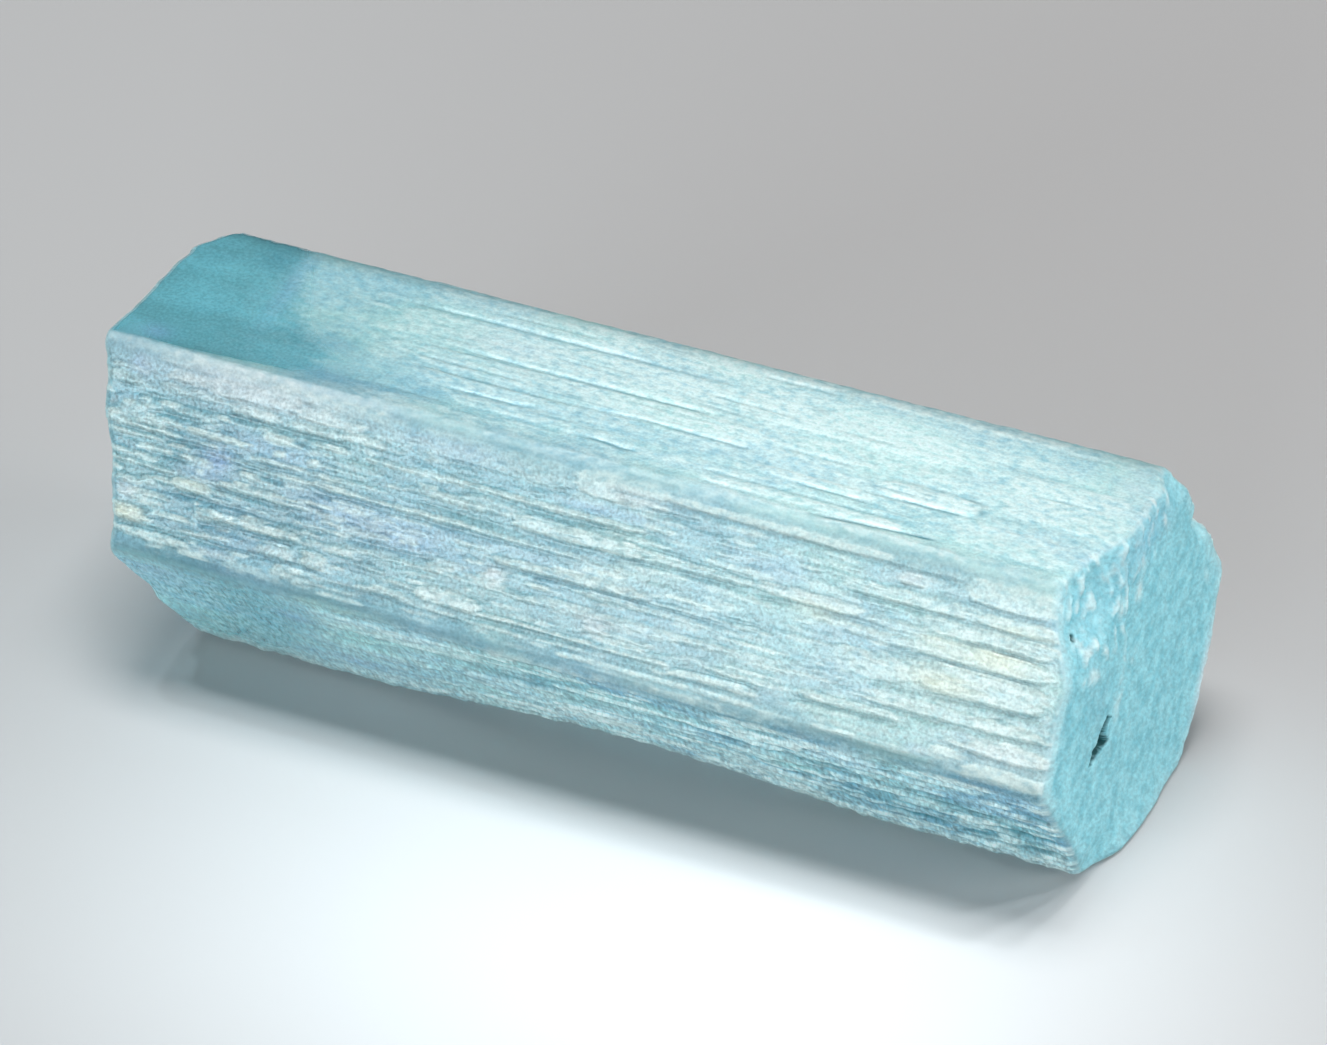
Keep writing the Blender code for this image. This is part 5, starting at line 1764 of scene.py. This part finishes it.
def striation_group() -> bpy.types.NodeTree:
    """Fine lines that run along the crystal, with painted highlight on their crests and painted shade in their grooves.
    """
    bench, place, sink = new_group("fine_striation", ("Height", "CrestHighlights", "GrooveShade"))
    wide = bench.noise(place, (800.0, 2900.0, 2900.0), 2.0)
    thin = bench.noise(place, (2600.0, 7600.0, 7600.0), 2.0)
    both = bench.add(bench.scaled(wide, 0.5), bench.scaled(thin, 0.5))
    bench.feed(sink["Height"], both)
    # Painted highlight on the crests of the fine lines.
    bench.feed(sink["CrestHighlights"], bench.remap(both, 0.52, 0.64, 0.0, 0.6))
    # Painted shade in the grooves of the fine lines.
    bench.feed(sink["GrooveShade"], bench.remap(both, 0.47, 0.37, 0.0, 0.5))
    return bench.tree


def crumble_group() -> bpy.types.NodeTree:
    """Small blobs on the laths, and a slow drift of tone over the whole stone."""
    bench, place, sink = new_group("crumbly_blobs", ("Blobs", "Drift", "Mint"))
    blobs = bench.noise(place, (1900.0, 3400.0, 3400.0), 3.0)
    drift = bench.noise(place, (160.0, 330.0, 330.0), 2.0)
    mint = bench.noise(place, (210.0, 420.0, 500.0), 2.0)
    bench.feed(sink["Blobs"], bench.remap(blobs, 0.32, 0.68, 0.0, 1.0))
    bench.feed(sink["Drift"], bench.remap(drift, 0.35, 0.65, 0.0, 1.0))
    bench.feed(sink["Mint"], bench.remap(mint, 0.45, 0.65, 0.0, 1.0))
    return bench.tree


def grain_group() -> bpy.types.NodeTree:
    """Fine frosted grain."""
    bench, place, sink = new_group("frosted_grain", ("Height", "Speckle", "Mottle", "Chips", "Break"))
    grain = bench.noise(place, (6500.0, 6500.0, 6500.0), 2.0)
    patches = bench.noise(place, (1500.0, 1500.0, 1500.0), 4.0)
    chips = bench.noise(place, (5600.0, 2100.0, 2100.0), 2.0)
    snapped = bench.noise(place, (6000.0, 2800.0, 6000.0), 2.0, 41.6)
    bench.feed(sink["Chips"], bench.remap(chips, 0.3, 0.7, 0.0, 1.0))
    bench.feed(sink["Break"], bench.remap(snapped, 0.3, 0.7, 0.0, 1.0))
    bench.feed(sink["Height"], grain)
    bench.feed(sink["Speckle"], bench.remap(grain, 0.3, 0.7, 0.0, 1.0))
    bench.feed(sink["Mottle"], bench.remap(patches, 0.35, 0.65, 0.0, 1.0))
    return bench.tree


# --------------------------------------------------------------------------------------
# The studio
# --------------------------------------------------------------------------------------


@dataclass(frozen=True)
class Softbox:
    """A soft area light that faces a point near the crystal, in metres."""

    name: str
    place: tuple[float, float, float]
    aim: tuple[float, float, float]
    size: tuple[float, float]
    power: float
    colour: Colour = (1.0, 1.0, 1.0)

    def add(self) -> None:
        """Put the light in the scene."""
        lamp = bpy.data.lights.new(self.name, "AREA")
        lamp.shape = "RECTANGLE"
        lamp.size, lamp.size_y = self.size
        lamp.energy = self.power
        lamp.color = self.colour
        light = bpy.data.objects.new(self.name, lamp)
        light.location = self.place
        way = Vector(self.aim) - Vector(self.place)
        light.rotation_mode = "QUATERNION"
        light.rotation_quaternion = way.to_track_quat("-Z", "Y")
        bpy.context.scene.collection.objects.link(light)


@dataclass(frozen=True)
class PoolLamp:
    """A lamp above that throws a soft-edged pool of light onto the floor."""

    name: str
    place: tuple[float, float, float]
    aim: tuple[float, float, float]
    cone: float
    radius: float
    power: float
    colour: Colour = (1.0, 1.0, 1.0)

    def add(self) -> None:
        """Put the lamp in the scene."""
        lamp = bpy.data.lights.new(self.name, "SPOT")
        lamp.spot_size = math.radians(self.cone)
        lamp.spot_blend = 1.0
        lamp.shadow_soft_size = self.radius
        lamp.energy = self.power
        lamp.color = self.colour
        light = bpy.data.objects.new(self.name, lamp)
        light.location = self.place
        way = Vector(self.aim) - Vector(self.place)
        light.rotation_mode = "QUATERNION"
        light.rotation_quaternion = way.to_track_quat("-Z", "Y")
        bpy.context.scene.collection.objects.link(light)


@dataclass(frozen=True)
class Studio:
    """The floor, the lights, the surroundings and the camera."""

    floor_grey: Colour = (0.420, 0.424, 0.430)
    surround: Colour = (0.66, 0.68, 0.70)
    surround_power: float = 0.087
    camera_place: tuple[float, float, float] = (0.12117, -0.27733, 0.24708)
    camera_turn: tuple[float, float, float] = (51.93, 0.0, 23.42)
    lens: float = 221.0
    lights: tuple[Softbox | PoolLamp, ...] = (
        Softbox("overhead", (0.0, 0.02, 0.50), (0.0, 0.0, 0.0), (0.22, 0.22), 2.23, (1.0, 0.98, 0.965)),
        PoolLamp("pool_left", (-0.20, -0.06, 0.40), (-0.007, -0.017, 0.0), 6.8, 0.02, 3.2, (0.72, 0.92, 1.0)),
        PoolLamp("pool_left_high", (-0.14, 0.01, 0.42), (-0.004, -0.016, 0.0), 6.8, 0.02, 3.0, (0.72, 0.92, 1.0)),
        PoolLamp("pool_middle", (-0.03, -0.04, 0.42), (0.008, -0.020, 0.0), 6.8, 0.02, 2.75, (0.84, 0.95, 1.0)),
        PoolLamp("pool_middle_high", (0.05, 0.04, 0.42), (0.013, -0.020, 0.0), 6.8, 0.02, 3.0, (0.86, 0.96, 1.0)),
        PoolLamp("pool_right", (0.20, -0.02, 0.40), (0.018, -0.018, 0.0), 6.6, 0.02, 3.2, (0.91, 0.97, 1.0)),
        PoolLamp("pool_right_high", (0.15, 0.06, 0.40), (0.020, -0.018, 0.0), 6.6, 0.02, 3.2, (0.91, 0.97, 1.0)),
        Softbox("right_fill", (0.44, 0.10, 0.07), (0.0, 0.0, 0.01), (0.20, 0.10), 2.16),
        Softbox("front_fill", (-0.06, -0.44, 0.11), (0.0, 0.0, 0.008), (0.45, 0.04), 2.4, (0.85, 0.96, 1.0)),
    )

    def build(self) -> None:
        """Set up the studio."""
        self.floor()
        self.world()
        for light in self.lights:
            light.add()
        self.camera()
        bpy.context.scene.view_settings.view_transform = "Standard"

    def floor(self) -> None:
        """A plain pale floor."""
        bpy.ops.object.select_all(action="DESELECT")
        bpy.ops.mesh.primitive_plane_add(size=6.0, location=(0.0, 0.0, 0.0))
        floor = bpy.context.active_object
        floor.name = "floor"
        material = bpy.data.materials.new("plain_floor")
        material.use_nodes = True
        shader = material.node_tree.nodes["Principled BSDF"]
        shader.inputs["Base Color"].default_value = (*self.floor_grey, 1.0)
        shader.inputs["Roughness"].default_value = 0.9
        shader.inputs["Specular IOR Level"].default_value = 0.2
        floor.data.materials.append(material)

    def world(self) -> None:
        """Even soft surroundings."""
        world = bpy.data.worlds.new("soft_surround")
        bpy.context.scene.world = world
        world.use_nodes = True
        background = world.node_tree.nodes["Background"]
        background.inputs["Color"].default_value = (*self.surround, 1.0)
        background.inputs["Strength"].default_value = self.surround_power

    def camera(self) -> None:
        """The camera, looking down on the crystal from the front right."""
        camera = bpy.data.objects.new("camera", bpy.data.cameras.new("camera"))
        camera.data.lens = self.lens
        camera.data.sensor_width = 36.0
        camera.data.clip_start = 0.01
        camera.location = self.camera_place
        camera.rotation_euler = [math.radians(turn) for turn in self.camera_turn]
        bpy.context.scene.collection.objects.link(camera)
        bpy.context.scene.camera = camera


def broken_ends() -> dict[End, BrokenEnd]:
    """The forms of the two ends."""
    right = BrokenEnd(
        End.RIGHT,
        middle=24.30,
        rim_crumble=0.11,
        lean_y=0.078,
        lean_z=-0.046,
        chips=(
            Chip(-4.9, 17.0, 4.6, 1.25),
            Chip(5.4, 17.2, 2.0, 0.7),
            Chip(-5.0, 0.0, 2.6, 0.5),
            Chip(7.6, 12.9, 1.3, 0.7),
            Chip(-3.0, 14.6, 2.2, 0.10),
            Chip(-1.0, 7.3, 0.7, -0.08),
        ),
        nicks=(Nick(3.45, 0.35, -0.45), Nick(4.5, 0.5, -0.12)),
        lump=0.09,
        crack=(
            (-4.86, 6.90), (-4.50, 7.46), (-4.05, 7.58), (-3.80, 7.88), (-3.35, 8.25), (-2.90, 8.40),
            (-2.56, 8.08), (-2.98, 7.82), (-3.20, 7.50), (-2.86, 6.95), (-3.46, 6.90), (-4.08, 6.96), (-4.50, 6.76),
        ),
        crack_depth=0.9,
        pits=(Chip(-5.1, 14.3, 0.22, 0.35),),
        rim_highlight=((0.0, 0.1), (0.9, 0.1), (1.1, 0.35), (2.0, 0.4), (2.3, 0.05), (3.5, 0.15), (5.0, 0.4), (6.0, 0.1)),
        rough=(Chip(-2.4, 14.9, 4.0, 0.085), Chip(-4.6, 12.2, 1.8, 0.05), Chip(2.4, 16.0, 2.2, 0.05)),
        # Patches of the crest mask here are painted highlight.
        end_patches=(
            EndPatch(Mask.CREST_HIGHLIGHT, 0.6, 13.3, 0.30, 0.5, 0.0, 0.9),
            EndPatch(Mask.CREST_HIGHLIGHT, -1.3, 13.5, 0.22, 0.45, 0.0, 0.8),
            EndPatch(Mask.CREST_HIGHLIGHT, -1.5, 15.7, 0.40, 0.20, 20.0, 0.6),
            EndPatch(Mask.CREST_HIGHLIGHT, 1.0, 14.7, 0.22, 0.5, 10.0, 0.7),
            EndPatch(Mask.CREST_HIGHLIGHT, -2.0, 8.2, 0.25, 0.60, 0.0, 0.6),
            EndPatch(Mask.CREST_HIGHLIGHT, -1.5, 9.0, 0.7, 0.10, 82.0, 0.7),
            EndPatch(Mask.CREST_HIGHLIGHT, -1.1, 10.6, 0.7, 0.10, 78.0, 0.6),
            EndPatch(Mask.CREST_HIGHLIGHT, -0.3, 9.9, 0.5, 0.10, 40.0, 0.5),
            EndPatch(Mask.CREST_HIGHLIGHT, 8.0, 9.3, 0.7, 0.16, 60.0, 0.45),
            EndPatch(Mask.DEEP, -3.3, 9.8, 1.3, 0.5, 55.0, 0.45),
            EndPatch(Mask.DEEP, -2.4, 14.6, 3.2, 1.8, 0.0, 0.22),
            EndPatch(Mask.DEEP, 3.6, 6.5, 3.0, 1.2, 70.0, 0.12),
            EndPatch(Mask.DEEP, -4.4, 11.6, 2.6, 0.8, 85.0, 0.3),
            EndPatch(Mask.LILAC, 1.5, 15.8, 2.6, 1.2, 0.0, 0.35),
            EndPatch(Mask.ROSE, 7.2, 3.6, 2.4, 0.5, 60.0, 0.6),
            EndPatch(Mask.CREST_HIGHLIGHT, 7.6, 3.9, 2.6, 0.3, 60.0, 0.4),
        ),
    )
    left = BrokenEnd(
        End.LEFT,
        middle=-24.2,
        lean_y=0.03,
        lean_z=-0.23,
        chips=(
            Chip(5.0, 17.4, 2.2, 1.6),
            Chip(-5.6, 15.6, 1.8, 0.25),
            Chip(-7.4, 4.4, 1.6, 0.30),
            Chip(-4.4, 0.0, 2.0, 0.30),
            Chip(2.0, 9.0, 5.0, 0.8),
            Chip(9.8, 8.0, 3.0, 1.1),
        ),
        lump=0.30,
        nicks=(
            Nick(5.97, 0.05, 0.5), Nick(0.22, 0.18, 0.70), Nick(0.45, 0.15, 0.35), Nick(0.75, 0.15, 0.18),
            Nick(1.10, 0.14, -0.18), Nick(1.62, 0.20, 0.5), Nick(1.88, 0.14, 0.5),
            Nick(2.03, 0.10, 0.30), Nick(2.9, 0.17, 0.45), Nick(3.05, 0.08, 0.2),
        ),
    )
    return {End.LEFT: left, End.RIGHT: right}


def main() -> None:
    """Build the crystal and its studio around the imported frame."""
    logging.basicConfig(level=logging.INFO, format="%(name)s: %(message)s")
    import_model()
    skins = (
        top_skin(),
        upper_front_skin(),
        lower_front_skin(),
        quiet_skin(Side.UNDERSIDE, 15, 12, False),
        quiet_skin(Side.LOWER_BACK, 35, 70, False),
        quiet_skin(Side.UPPER_BACK, 39, 90, True),
    )
    crystal = Crystal(Section(), broken_ends(), skins).build()
    crystal.data.materials.append(Beryl().material())
    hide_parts(NODE)
    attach(crystal, "root")
    LOG.info("crystal: %d points, %d faces", len(crystal.data.vertices), len(crystal.data.polygons))
    Studio().build()
    LOG.info("studio: floor, lights and camera")


if __name__ == "__main__":
    main()
